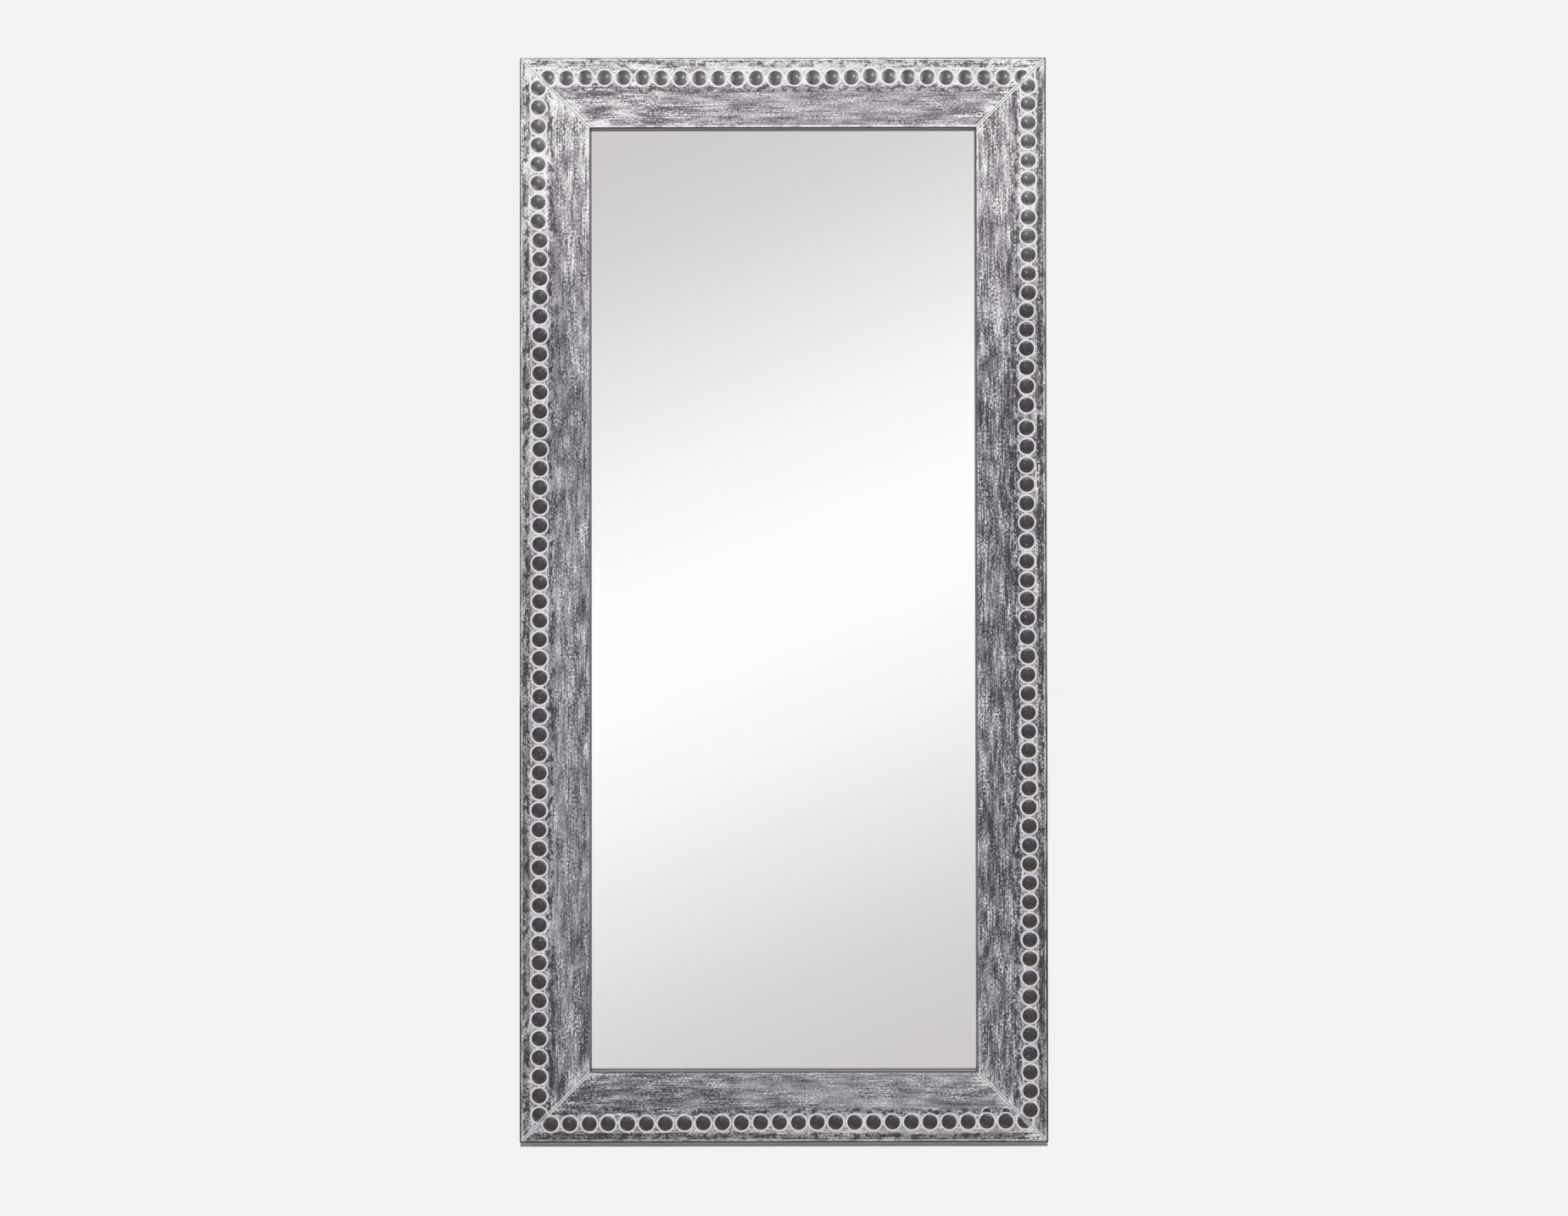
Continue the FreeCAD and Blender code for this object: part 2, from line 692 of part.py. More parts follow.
def add_glazing(panel_bores):
    """Glass on its blocks, the cushion sheet behind it and the panel that closes the back."""
    glass_width = "overall_width - 2 * glass_edge"
    glass_height = "overall_height - 2 * glass_edge"
    glass = add_box("mirror_glass", (glass_width, "glass_thickness", glass_height),
                    (f"-({glass_width}) / 2", "glass_front", f"-({glass_height}) / 2"))
    keep(glass, "mirror_glass")
    cushion_width = f"{glass_width} - 2 * cushion_inset"
    cushion_height = f"{glass_height} - 2 * cushion_inset"
    cushion = add_box("cushion_sheet", (cushion_width, "cushion_thickness", cushion_height),
                      (f"-({cushion_width}) / 2", "glass_back", f"-({cushion_height}) / 2"))
    keep(cushion, "cushion_sheet")
    block_starts = {
        "left": f"block_inset - ({glass_width}) / 2",
        "right": f"({glass_width}) / 2 - block_inset - block_length",
    }
    for side, start in block_starts.items():
        block_sides = ("block_length", "glass_thickness", "rabbet_width - glass_bite")
        block = add_box(f"setting_block_{side}", block_sides,
                        (start, "glass_front", "rabbet_wall - overall_height / 2"))
        keep(block, f"setting_block_{side}")
    panel_width = "overall_width - 2 * panel_edge"
    panel_height = "overall_height - 2 * panel_edge"
    blank = add_box("back_panel_blank", (panel_width, "panel_thickness", panel_height),
                    (f"-({panel_width}) / 2", "core_back", f"-({panel_height}) / 2"))
    drill("back_panel", blank, panel_bores)


def check_document():
    """Stop if anything failed to build, or if a cut took nothing away."""
    for item in doc.Objects:
        if "Invalid" in item.State or "Error" in item.State:
            raise RuntimeError(f"{item.Label} failed: {item.State}")
        if item.TypeId in ("PartDesign::Pocket", "PartDesign::Groove"):
            if item.Shape.Volume >= item.BaseFeature.Shape.Volume:
                raise RuntimeError(f"{item.Label} of {item.getParentGeoFeatureGroup().Label} cuts nothing")
        if item.TypeId == "Part::Cut" and item.Shape.Volume >= item.Base.Shape.Volume:
            raise RuntimeError(f"{item.Label} is not drilled")
    for piece in pieces:
        if piece.Shape.isNull() or not piece.Shape.isValid():
            raise RuntimeError(f"{piece.Label} has no valid shape")


def export_pieces():
    os.makedirs("parts", exist_ok=True)
    for piece in pieces:
        piece.Shape.exportStep(os.path.join("parts", f"{piece.Label}.step"))


def build_mirror():
    fill_sheet()
    tack_bores = {name: add_tacks(name) for name in RAILS}
    panel_bores = {name: add_panel_screws(name) for name in RAILS}
    corner_bores = {name: [add_dowels(name), add_corner_plate(name)] for name in CORNERS}
    hanger_bores = {side: add_hanger(side, sign) for side, sign in SIDES.items()}
    for name in RAILS:
        add_cladding(name, tack_bores[name])
        bores = [tack_bores[name], panel_bores[name]]
        for corner in CORNERS_OF_RAIL[name]:
            bores.extend(corner_bores[corner])
        if name in hanger_bores:
            bores.append(hanger_bores[name])
        add_core(name, bores)
    add_glazing(list(panel_bores.values()))
    doc.recompute()
    check_document()
    export_pieces()


build_mirror()
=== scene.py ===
import math

import bmesh
import bpy
import numpy as np
from mathutils import Matrix, Vector


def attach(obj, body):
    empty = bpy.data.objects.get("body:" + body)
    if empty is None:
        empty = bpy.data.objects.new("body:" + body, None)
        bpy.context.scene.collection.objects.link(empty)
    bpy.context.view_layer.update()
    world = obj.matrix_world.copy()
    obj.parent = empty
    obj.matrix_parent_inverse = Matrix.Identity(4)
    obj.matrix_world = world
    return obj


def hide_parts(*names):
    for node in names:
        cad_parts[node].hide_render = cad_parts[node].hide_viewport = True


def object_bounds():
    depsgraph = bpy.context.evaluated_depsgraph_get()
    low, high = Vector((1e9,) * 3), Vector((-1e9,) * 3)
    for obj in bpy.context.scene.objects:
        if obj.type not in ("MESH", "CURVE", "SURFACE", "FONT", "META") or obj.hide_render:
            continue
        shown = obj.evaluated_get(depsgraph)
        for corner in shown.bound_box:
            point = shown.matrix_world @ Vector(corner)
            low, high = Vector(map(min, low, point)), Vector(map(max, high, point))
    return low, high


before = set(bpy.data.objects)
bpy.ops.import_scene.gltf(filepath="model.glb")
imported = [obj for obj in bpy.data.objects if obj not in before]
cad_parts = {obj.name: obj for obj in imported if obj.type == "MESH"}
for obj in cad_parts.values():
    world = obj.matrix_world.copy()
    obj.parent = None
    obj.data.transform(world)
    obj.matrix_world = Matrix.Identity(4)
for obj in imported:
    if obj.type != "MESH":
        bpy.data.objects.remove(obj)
cad_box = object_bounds()

MM = 0.001

# The frame, in millimetres, as the solids have it
WIDTH = 889
HEIGHT = 1829
RAIL_WIDTH = 119
GAUGE = 0.8
BEND = 2
RETURN_WIDTH = 14
FLANGE_WIDTH = 10
FACE_DEPTH = -30
GLASS_DEPTH = -16
RETURN_DEPTH = -5.2
SEAM_SETBACK = 0.35

# Punched dimples, in millimetres
DISH_RADIUS = 12.6
DISH_DEPTH = 4.5
DISH_RING_SHARES = (0.96, 0.9, 0.8, 0.66, 0.48, 0.25)
RIM_WIDTH = 2.8
RIM_HEIGHT = 0.8
RIM_POWER = 0.75
DIMPLE_RADIUS = DISH_RADIUS + RIM_WIDTH
ROW_LINE = 32
HALF_PITCH = 16
BAND_START = ROW_LINE - HALF_PITCH
BAND_END = ROW_LINE + HALF_PITCH
FAR_FROM_DISH = 60
FOOT_CLEARANCE = 0.05
RING_CLEARANCE = 0.02

# How unevenly the dimples are struck
SCATTER = 0.2
RIM_SCALES = (0.75, 1.15)
DEPTH_SCALES = (0.88, 1.08)
STRIKE_SEED = 360
STRIKE_SEED_STEP = 7
CORNER_OVERLAP = 0.3
STRAY_SHIFT = 15.5
STRAY_RADIUS = 7.5
STRAY_DEPTH = 1.1
STRAY_OVERLAP = 0.1
DOTTED_SHARE = 0.14
DOT_SCATTER = 2.6

# The strip of wash outside the row, in millimetres from the outer edge: where it rises and where it falls
OUTSIDE_ZONE = (2, 5, 14, 18)

# The sheet's slow waviness and the lift of its cut ends, in millimetres
WAVE_COUNT = 6
WAVE_REACH = 0.35
WAVES_ALONG = (90, 320)
WAVES_ACROSS = (60, 160)
WAVE_MARGIN = 8
WAVE_ABOVE_GLASS = 4
SEAM_LIFT = 0.35
SEAM_LIFT_REACH = 3.0

# How far apart the rails' wash patterns lie, by degree of turn, and the angle that stays sharp, in degrees
PATTERN_SHIFT = 3.7
SHARP_ANGLE = 38

# The four rails, in millimetres and degrees; each one has:
# length and turn: its length, and its turn about Y
# start, pitch and count: its row of dimples
# drift and line: how far dimples have drifted along it, and the row's distance from the outer edge
# wash: the tone and contrast of its face, by share of its length, paler towards the top of the frame
# thick: how thick the whitewash is, by share of its length
# strip: how much paler the wash is outside the row, where thin and where thick
# painted glint: the angle from which painted highlights fall in its dishes, and how strong they are
# lip and wall: how white its outer lip is, and how pale its inner wall is
# bends: the width of the painted shade on the outer edge, the tone of the inner fold, and the white on it
# strays: the dimples with a stray second strike beside them
RAILS = {
    "bottom": {
        "length": WIDTH, "turn": 0, "start": 51.4, "pitch": 31.96, "count": 26,
        "drift": ((0, 0.4), (4, 1.8), (14, 1.8), (15, 0.8), (24, -0.6), (25, -0.6)),
        "line": ((0, 31.8), (4, 32.0), (12, 34.0), (20, 34.6), (25, 36.0)),
        "wash": (
            (0.0, 0.5, 1.2), (0.2, 0.49, 1.1), (0.45, 0.55, 0.8), (0.65, 0.6, 0.65), (1.0, 0.55, 1.0),
        ),
        "thick": ((0, 0), (1, 0)), "strip": (-0.06, -0.06),
        "painted_glint": (70, 0.55), "lip": 0.75, "wall": 0.75, "bends": (3.2, 0.36, 0.4), "strays": (23, 24),
    },
    "left": {
        "length": HEIGHT, "turn": 90, "start": 50.0, "pitch": 32.04, "count": 55,
        "drift": ((0, 1.2), (20, 3.5), (35, 3.6), (54, 2.0)),
        "line": ((0, 31.3), (7, 31.0), (8, 34.0), (31, 33.6), (38, 32.6), (49, 32.4), (54, 33.0)),
        "wash": (
            (0.0, 0.69, 1.5), (0.09, 0.68, 1.4), (0.18, 0.61, 1.15), (0.27, 0.55, 1.0),
            (0.38, 0.535, 1.0), (0.6, 0.54, 1.1), (0.75, 0.53, 0.85), (1.0, 0.48, 1.35),
        ),
        "thick": ((0, 1), (0.1, 1), (0.24, 0), (1, 0)), "strip": (-0.04, 0.06),
        "painted_glint": (50, 0.35), "lip": 0.7, "wall": 0.3, "bends": (2.4, 0.43, 0.12), "strays": (),
    },
    "top": {
        "length": WIDTH, "turn": 180, "start": 40.0, "pitch": 32.07, "count": 26,
        "drift": ((0, 0.0), (25, 0.0)),
        "line": (
            (0, 34.2), (3, 34.2), (6, 32.8), (7, 31.2), (8, 31.2), (9, 33.4), (12, 33.8),
            (13, 34.8), (19, 34.8), (20, 33.3), (23, 33.3), (24, 34.2), (25, 34.2),
        ),
        "wash": (
            (0.0, 0.62, 1.3), (0.3, 0.625, 0.7), (0.5, 0.645, 0.7), (0.75, 0.615, 1.2), (1.0, 0.65, 1.6),
        ),
        "thick": ((0, 1), (1, 1)), "strip": (0.13, 0.13),
        "painted_glint": (0, 0.6), "lip": 1.0, "wall": 0.28, "bends": (1.9, 0.28, 1.0), "strays": (),
    },
    "right": {
        "length": HEIGHT, "turn": -90, "start": 54.3, "pitch": 31.86, "count": 55,
        "drift": (
            (0, 0), (5, -1.0), (29, -1.0), (30, 1.3), (36, 1.3),
            (37, 7.9), (42, 7.9), (43, 6.5), (53, 7.4), (54, 6.0),
        ),
        "line": ((0, 30.1), (16, 30.7), (24, 32.9), (29, 33.7), (42, 33.7), (43, 30.4), (54, 30.1)),
        "wash": (
            (0.0, 0.53, 1.3), (0.15, 0.5, 1.3), (0.27, 0.44, 1.4), (0.45, 0.485, 1.35),
            (0.64, 0.46, 1.5), (0.76, 0.54, 1.3), (0.85, 0.61, 1.2), (1.0, 0.63, 1.4),
        ),
        "thick": ((0, 0), (0.76, 0), (0.88, 1), (1, 1)), "strip": (-0.06, -0.1),
        "painted_glint": (90, 0.4), "lip": 0.7, "wall": 0.6, "bends": (2.9, 0.4, 0.15), "strays": (),
    },
}

# How finely the sheet is divided, in parts, in millimetres and in degrees
SIDE_PARTS = 8
FINE_SIDE_PARTS = 32
BEND_PARTS = 5
RIM_PARTS = 6
RETURN_PARTS = 3
OUTER_WALL_PARTS = 4
OUTER_STRIP_PARTS = 4
BESIDE_ROW_PARTS = 6
FACE_PARTS = 10
INNER_WALL_PARTS = 3
FLANGE_PARTS = 2
BESIDE_ROW = 12
END_STEP = 5
FINE_STEP = 1.0
END_OVERRUN = 2
WELD_DISTANCE = 0.004
CUT_TOLERANCE = 0.0005
FACE_TOLERANCE = 0.001
FACE_SLACK = 1
QUARTER_TURN = 90


def smooth(edge_0, edge_1, values):
    """0 below the first edge, 1 above the second, and an even S between them."""
    t = np.clip((values - edge_0) / (edge_1 - edge_0), 0, 1)
    return t * t * (3 - 2 * t)


def wave(along, across, seed):
    """A slow, shallow unevenness over a sheet."""
    random = np.random.default_rng(seed)
    height = np.zeros_like(along)
    for _ in range(WAVE_COUNT):
        length_along = random.uniform(*WAVES_ALONG)
        length_across = random.uniform(*WAVES_ACROSS)
        phase = random.uniform(0, math.tau)
        height += np.sin(math.tau * (along / length_along + across / length_across) + phase)
    return WAVE_REACH * height / WAVE_COUNT


def fold_line():
    """The sheet's outer surface across the rail, as rows of depth, inward place and length along the fold."""
    points = []

    def run(start, end, count):
        for i in range(count):
            share = i / count
            depth = start[0] + (end[0] - start[0]) * share
            inward = start[1] + (end[1] - start[1]) * share
            points.append((depth, inward))

    def bend(centre, first, last):
        for i in range(BEND_PARTS):
            angle = math.radians(first + (last - first) * i / BEND_PARTS)
            points.append((centre[0] + BEND * math.cos(angle), centre[1] + BEND * math.sin(angle)))

    half_turn = 2 * QUARTER_TURN
    before_bend = RAIL_WIDTH - BEND
    beside_row = BAND_END + BESIDE_ROW
    flange_end = (GLASS_DEPTH, RAIL_WIDTH - FLANGE_WIDTH)
    run((RETURN_DEPTH, RETURN_WIDTH), (RETURN_DEPTH, BEND), RETURN_PARTS)
    bend((RETURN_DEPTH - BEND, BEND), 0, -QUARTER_TURN)
    run((RETURN_DEPTH - BEND, 0), (FACE_DEPTH + BEND, 0), OUTER_WALL_PARTS)
    bend((FACE_DEPTH + BEND, BEND), -QUARTER_TURN, -half_turn)
    run((FACE_DEPTH, BEND), (FACE_DEPTH, BAND_START), OUTER_STRIP_PARTS)
    points.append((FACE_DEPTH, BAND_START))
    band_row = len(points) - 1
    run((FACE_DEPTH, BAND_END), (FACE_DEPTH, beside_row), BESIDE_ROW_PARTS)
    run((FACE_DEPTH, beside_row), (FACE_DEPTH, before_bend), FACE_PARTS)
    bend((FACE_DEPTH + BEND, before_bend), half_turn, QUARTER_TURN)
    run((FACE_DEPTH + BEND, RAIL_WIDTH), (GLASS_DEPTH - BEND, RAIL_WIDTH), INNER_WALL_PARTS)
    bend((GLASS_DEPTH - BEND, before_bend), QUARTER_TURN, 0)
    run((GLASS_DEPTH, before_bend), flange_end, FLANGE_PARTS)
    points.append(flange_end)
    rows = np.array(points, float)
    steps = np.hypot(*np.diff(rows, axis=0).T)
    along = np.concatenate([[0], np.cumsum(steps)])
    along += BAND_START - along[band_row]
    return rows, along, band_row


def even_angles(parts):
    """Places from -1 to 1 along a square's side that stand at even angles from its middle."""
    return np.tan(np.linspace(-math.pi / 4, math.pi / 4, parts + 1))


def spaced(start, end, step):
    """Evenly spaced places from start to end, both included."""
    parts = max(1, round((end - start) / step))
    return np.linspace(start, end, parts + 1)


def row_of_dimples(name):
    """Where a rail's dimples stand, along it and across it, with the small scatter of hand punching."""
    rail = RAILS[name]
    random = np.random.default_rng(rail["count"] + round(rail["start"]))
    order = np.arange(rail["count"])
    along = rail["start"] + rail["pitch"] * order
    along += np.interp(order, *zip(*rail["drift"]))
    along += random.normal(0, SCATTER, rail["count"])
    across = np.interp(order, *zip(*rail["line"])) + random.normal(0, SCATTER, rail["count"])
    return along, across


def corner_dimple():
    """The bottom row's last dimple is struck across the seam: where it falls on the right rail."""
    along, across = row_of_dimples("bottom")
    return across[-1], WIDTH - along[-1]


class Patches:
    """Loose quads and triangles of a surface, welded at the end."""

    def __init__(self):
        self.points = []
        self.faces = []

    def grid(self, points):
        """A sheet of quads over points[row][column]."""
        rows, columns = points.shape[:2]
        first = len(self.points)
        self.points.extend(points.reshape(-1, 3))
        for r in range(rows - 1):
            for c in range(columns - 1):
                a = first + r * columns + c
                self.faces.append((a, a + 1, a + columns + 1, a + columns))

    def rings(self, loops, middle):
        """Quads between closed loops, the first outermost, and triangles to a middle point."""
        count = len(loops[0])
        first = len(self.points)
        for loop in loops:
            self.points.extend(loop)
        for r in range(len(loops) - 1):
            for c in range(count):
                a = first + r * count + c
                b = first + r * count + (c + 1) % count
                self.faces.append((a, b, b + count, a + count))
        last = first + (len(loops) - 1) * count
        tip = len(self.points)
        self.points.append(middle)
        for c in range(count):
            self.faces.append((last + c, last + (c + 1) % count, tip))


def ring_radii():
    """Radii of a dimple's rings, from the foot of its rim to near its middle."""
    crest = DISH_RADIUS + RIM_WIDTH / 2
    turns = np.linspace(math.pi / 2, -math.pi / 2, RIM_PARTS + 1)
    rim = crest + RIM_WIDTH / 2 * np.sin(turns)
    dish = DISH_RADIUS * np.array(DISH_RING_SHARES)
    return np.concatenate([rim, dish])


def dimple_height(radius, rim=1.0, depth=1.0):
    """How far a dimple's surface stands in front of the face, at each distance from its middle."""
    crest = DISH_RADIUS + RIM_WIDTH / 2
    on_rim = np.clip(1 - ((radius - crest) / (RIM_WIDTH / 2)) ** 2, 0, 1)
    curve = (DISH_RADIUS ** 2 + DISH_DEPTH ** 2) / (2 * DISH_DEPTH)
    inside = np.sqrt(np.maximum(curve ** 2 - np.minimum(radius, DISH_RADIUS) ** 2, 0)) - (curve - DISH_DEPTH)
    return RIM_HEIGHT * rim * on_rim ** RIM_POWER - depth * inside


def bent_rows(fold_rows, shift):
    """Inward places of the fold's rows along the rail, where the dimples' band has moved by a shift."""
    depth, place = fold_rows[:, 0][:, None], fold_rows[:, 1][:, None]
    outer = np.clip((place - BEND) / (BAND_START - BEND), 0, 1)
    inner = np.clip((RAIL_WIDTH - BEND - place) / (RAIL_WIDTH - BEND - BAND_END), 0, 1)
    share = np.where(place > ROW_LINE, inner, outer) * (depth <= FACE_DEPTH)
    return place + share * shift[None, :]


def dimple_patch(patches, edge, middle):
    """Add a round mesh at one dimple, from the edge of its cell to its middle."""
    spokes = edge - middle
    reach = np.hypot(spokes[:, 0], spokes[:, 1])
    spokes /= reach[:, None]
    foot = np.minimum(DIMPLE_RADIUS, reach - FOOT_CLEARANCE)
    loops = [edge, middle + spokes * ((foot + reach) / 2)[:, None]]
    for radius in ring_radii():
        loops.append(middle + spokes * np.minimum(radius, foot - RING_CLEARANCE)[:, None])
    at_face = [np.insert(loop, 1, FACE_DEPTH, axis=1) for loop in loops]
    patches.rings(at_face, np.array([middle[0], FACE_DEPTH, middle[1]]))


def sheet_patches(name):
    """The flat face and folds of a rail before its dimples are struck, with a round mesh at each dimple."""
    rail = RAILS[name]
    length = rail["length"]
    rows, _, band_row = fold_line()
    along, across = row_of_dimples(name)
    count = rail["count"]
    walls = np.concatenate([
        [along[0] - HALF_PITCH],
        (along[:-1] + along[1:]) / 2,
        [along[-1] + HALF_PITCH],
    ])
    sides = even_angles(SIDE_PARTS)
    side_places = HALF_PITCH * sides
    corner = name == "right"
    start_places = np.linspace(-HALF_PITCH, HALF_PITCH, FINE_SIDE_PARTS + 1) if corner else side_places
    start_lines = spaced(-END_OVERRUN, walls[0], FINE_STEP if corner else END_STEP)
    end_lines = spaced(walls[-1], length + END_OVERRUN, END_STEP)
    columns = [start_lines]
    for i in range(count):
        before = along[i] - walls[i]
        after = walls[i + 1] - along[i]
        columns.append(along[i] + np.where(sides < 0, before, after) * sides)
    columns.append(end_lines)
    lines = np.concatenate([columns[0]] + [c[1:] for c in columns[1:]])
    patches = Patches()

    def row_line(x):
        return np.interp(x, along, across)

    def sheet(line_places, fold_rows):
        points = np.zeros((len(fold_rows), len(line_places), 3))
        points[:, :, 0] = line_places[None, :]
        points[:, :, 1] = fold_rows[:, 0][:, None]
        points[:, :, 2] = bent_rows(fold_rows, row_line(line_places) - ROW_LINE)
        patches.grid(points)

    def band(line_places, places):
        points = np.full((len(places), len(line_places), 3), float(FACE_DEPTH))
        points[:, :, 0] = line_places[None, :]
        points[:, :, 2] = row_line(line_places)[None, :] + places[:, None]
        patches.grid(points)

    sheet(lines, rows[:band_row + 1])
    sheet(lines, rows[band_row + 1:])
    band(start_lines, start_places)
    band(end_lines, side_places)
    for i in range(count):
        left_places = start_places if i == 0 else side_places
        edge = [(x, -HALF_PITCH) for x in columns[i + 1]]
        edge += [(walls[i + 1], z) for z in side_places[1:]]
        edge += [(x, HALF_PITCH) for x in columns[i + 1][::-1][1:]]
        edge += [(walls[i], z) for z in left_places[::-1][1:-1]]
        edge = np.array(edge)
        edge[:, 1] += row_line(edge[:, 0])
        dimple_patch(patches, edge, np.array([along[i], across[i]]))
    return patches, along, across


def strike(points, name, along, across):
    """Push the dimples into the face; return each point's distance from its dimple and its place in it."""
    rail = RAILS[name]
    seed = rail["count"] * STRIKE_SEED_STEP + rail["length"] + rail["turn"] + STRIKE_SEED
    random = np.random.default_rng(seed)
    centres = list(zip(along, across))
    if name == "right":
        centres.append(corner_dimple())
    rim_scale = random.uniform(*RIM_SCALES, len(centres))
    depth_scale = random.uniform(*DEPTH_SCALES, len(centres))
    dotted = random.uniform(0, 1, len(centres)) < DOTTED_SHARE
    dots = random.normal(0, DOT_SCATTER, (len(centres), 2))
    # The direction in each dish where its painted highlight falls; lit and side measure along and across it
    lit_way = math.radians(rail["turn"] + rail["painted_glint"][0])
    far = np.full(len(points), float(FAR_FROM_DISH))
    near = far
    stray = far
    height = np.zeros(len(points))
    dish = np.zeros((len(points), 3))
    on_face = points[:, 1] < FACE_DEPTH + FACE_TOLERANCE
    for i, (x, z) in enumerate(centres):
        dx = points[:, 0] - x
        dz = points[:, 2] - z
        distance = np.hypot(dx, dz)
        nearer = on_face & (distance < near)
        if i == len(along):
            nearer &= near > DIMPLE_RADIUS - CORNER_OVERLAP
        near = np.where(nearer, distance, near)
        struck = nearer & (distance < DIMPLE_RADIUS)
        height = np.where(struck, dimple_height(distance, rim_scale[i], depth_scale[i]), height)
        lit = dx * math.cos(lit_way) + dz * math.sin(lit_way)
        side = dz * math.cos(lit_way) - dx * math.sin(lit_way)
        dot = np.hypot(dx - dots[i, 0], dz - dots[i, 1]) if dotted[i] else far
        dish[struck] = np.stack([lit, side, dot], axis=1)[struck]
    for i in rail["strays"]:
        distance = np.hypot(points[:, 0] - along[i], points[:, 2] - across[i] - STRAY_SHIFT)
        stray = np.where(on_face, np.minimum(stray, distance), stray)
    beside = near > DIMPLE_RADIUS - STRAY_OVERLAP
    height = np.where(beside, -STRAY_DEPTH * smooth(STRAY_RADIUS, 0, stray), height)
    points[:, 1] -= height
    return near, dish, stray


def fold_place(points, rows, lengths):
    """Each point's length along the fold, from the nearest row of the fold line."""
    place = np.zeros(len(points))
    face = points[:, 1] < FACE_DEPTH + DISH_DEPTH + GAUGE + FACE_SLACK
    middle = (points[:, 2] > BEND) & (points[:, 2] < RAIL_WIDTH - BEND)
    flat = face & middle
    place[flat] = points[flat, 2]
    others = np.where(~flat)[0]
    depth_gap = points[others, 1][:, None] - rows[:, 0][None, :]
    inward_gap = points[others, 2][:, None] - rows[:, 1][None, :]
    gap = np.hypot(depth_gap, inward_gap)
    place[others] = lengths[np.argmin(gap, axis=1)]
    return place


def mitred_mesh(name, patches):
    """A rail's patches, welded into one surface and cut at both mitres."""
    mesh = bpy.data.meshes.new(f"iron_{name}")
    mesh.from_pydata([tuple(p) for p in patches.points], [], patches.faces)
    shell = bmesh.new()
    shell.from_mesh(mesh)
    bmesh.ops.remove_doubles(shell, verts=shell.verts, dist=WELD_DISTANCE)
    for end, sign in ((0, 1), (RAILS[name]["length"], -1)):
        bmesh.ops.bisect_plane(
            shell,
            geom=shell.verts[:] + shell.edges[:] + shell.faces[:],
            dist=CUT_TOLERANCE,
            plane_co=(end + sign * SEAM_SETBACK * math.sqrt(2), 0, 0),
            plane_no=(-sign, 0, 1),
            clear_outer=True,
        )
    shell.to_mesh(mesh)
    shell.free()
    return mesh


def vertex_values(mesh, key):
    """A vector of each vertex, such as its place, as rows."""
    values = np.zeros(len(mesh.vertices) * 3)
    mesh.vertices.foreach_get(key, values)
    return values.reshape(-1, 3)


def sheet_layers(rail, along, place, mitre, strikes):
    """What the finish has to know at each point of a rail's surface."""
    near, dish, stray = strikes
    share = along / rail["length"]
    knots, tones, contrasts = zip(*rail["wash"])
    thick = np.interp(share, *zip(*rail["thick"]))
    outside = smooth(*OUTSIDE_ZONE[:2], place) * (1 - smooth(*OUTSIDE_ZONE[2:], place))
    tone = np.interp(share, knots, tones) + outside * np.interp(thick, (0, 1), rail["strip"])
    pattern = np.full(len(place), rail["turn"] * PATTERN_SHIFT)
    # The painted highlight's strength, and the tones of the lip and the wall
    habits = (rail["painted_glint"][1], rail["lip"], rail["wall"])
    return {
        "lay": np.stack([along, place, pattern], axis=1),
        "marks": np.stack([near, mitre, stray], axis=1),
        "dish": dish,
        "wash": np.stack([tone, np.interp(share, knots, contrasts), thick], axis=1),
        "habits": np.tile(habits, (len(place), 1)),
        "bends": np.tile(rail["bends"], (len(place), 1)),
    }


def build_sheet(name):
    """One folded, dimpled and mitred iron rail, as a closed mesh in its own place on the frame."""
    rail = RAILS[name]
    length = rail["length"]
    patches, along, across = sheet_patches(name)
    mesh = mitred_mesh(name, patches)
    points = vertex_values(mesh, "co")
    strikes = strike(points, name, along, across)
    x = points[:, 0]
    z = points[:, 2]
    mitre = np.minimum(x - z, length - x - z) / math.sqrt(2)
    rows, lengths, _ = fold_line()
    place = fold_place(points, rows, lengths)
    lift = wave(x, place, rail["count"] + length)
    on_face = smooth(0, WAVE_MARGIN, z) * smooth(0, WAVE_MARGIN, RAIL_WIDTH - z)
    points[:, 1] -= lift * on_face * (points[:, 1] < GLASS_DEPTH - WAVE_ABOVE_GLASS)
    at_seam = smooth(SEAM_LIFT_REACH, 0, mitre)
    points[:, 1] -= SEAM_LIFT * at_seam * (points[:, 1] < FACE_DEPTH + FACE_SLACK)
    mesh.vertices.foreach_set("co", points.ravel())
    mesh.update()
    thicken(mesh)
    for label, values in sheet_layers(rail, x, place, mitre, strikes).items():
        front_and_back = np.tile(values, (2, 1)).astype(np.float32)
        layer = mesh.attributes.new(label, "FLOAT_VECTOR", "POINT")
        layer.data.foreach_set("vector", front_and_back.ravel())
    to_middle = Matrix.Translation((-length / 2, 0, -(HEIGHT if length == WIDTH else WIDTH) / 2))
    turn = Matrix.Rotation(math.radians(rail["turn"]), 4, "Y")
    mesh.transform(Matrix.Scale(MM, 4) @ turn @ to_middle)
    mesh.polygons.foreach_set("use_smooth", np.ones(len(mesh.polygons), bool))
    mesh.set_sharp_from_angle(angle=math.radians(SHARP_ANGLE))
    piece = bpy.data.objects.new(f"iron_rail_{name}", mesh)
    bpy.context.scene.collection.objects.link(piece)
    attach(piece, "frame")
    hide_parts(f"cladding_{name}")
    return piece


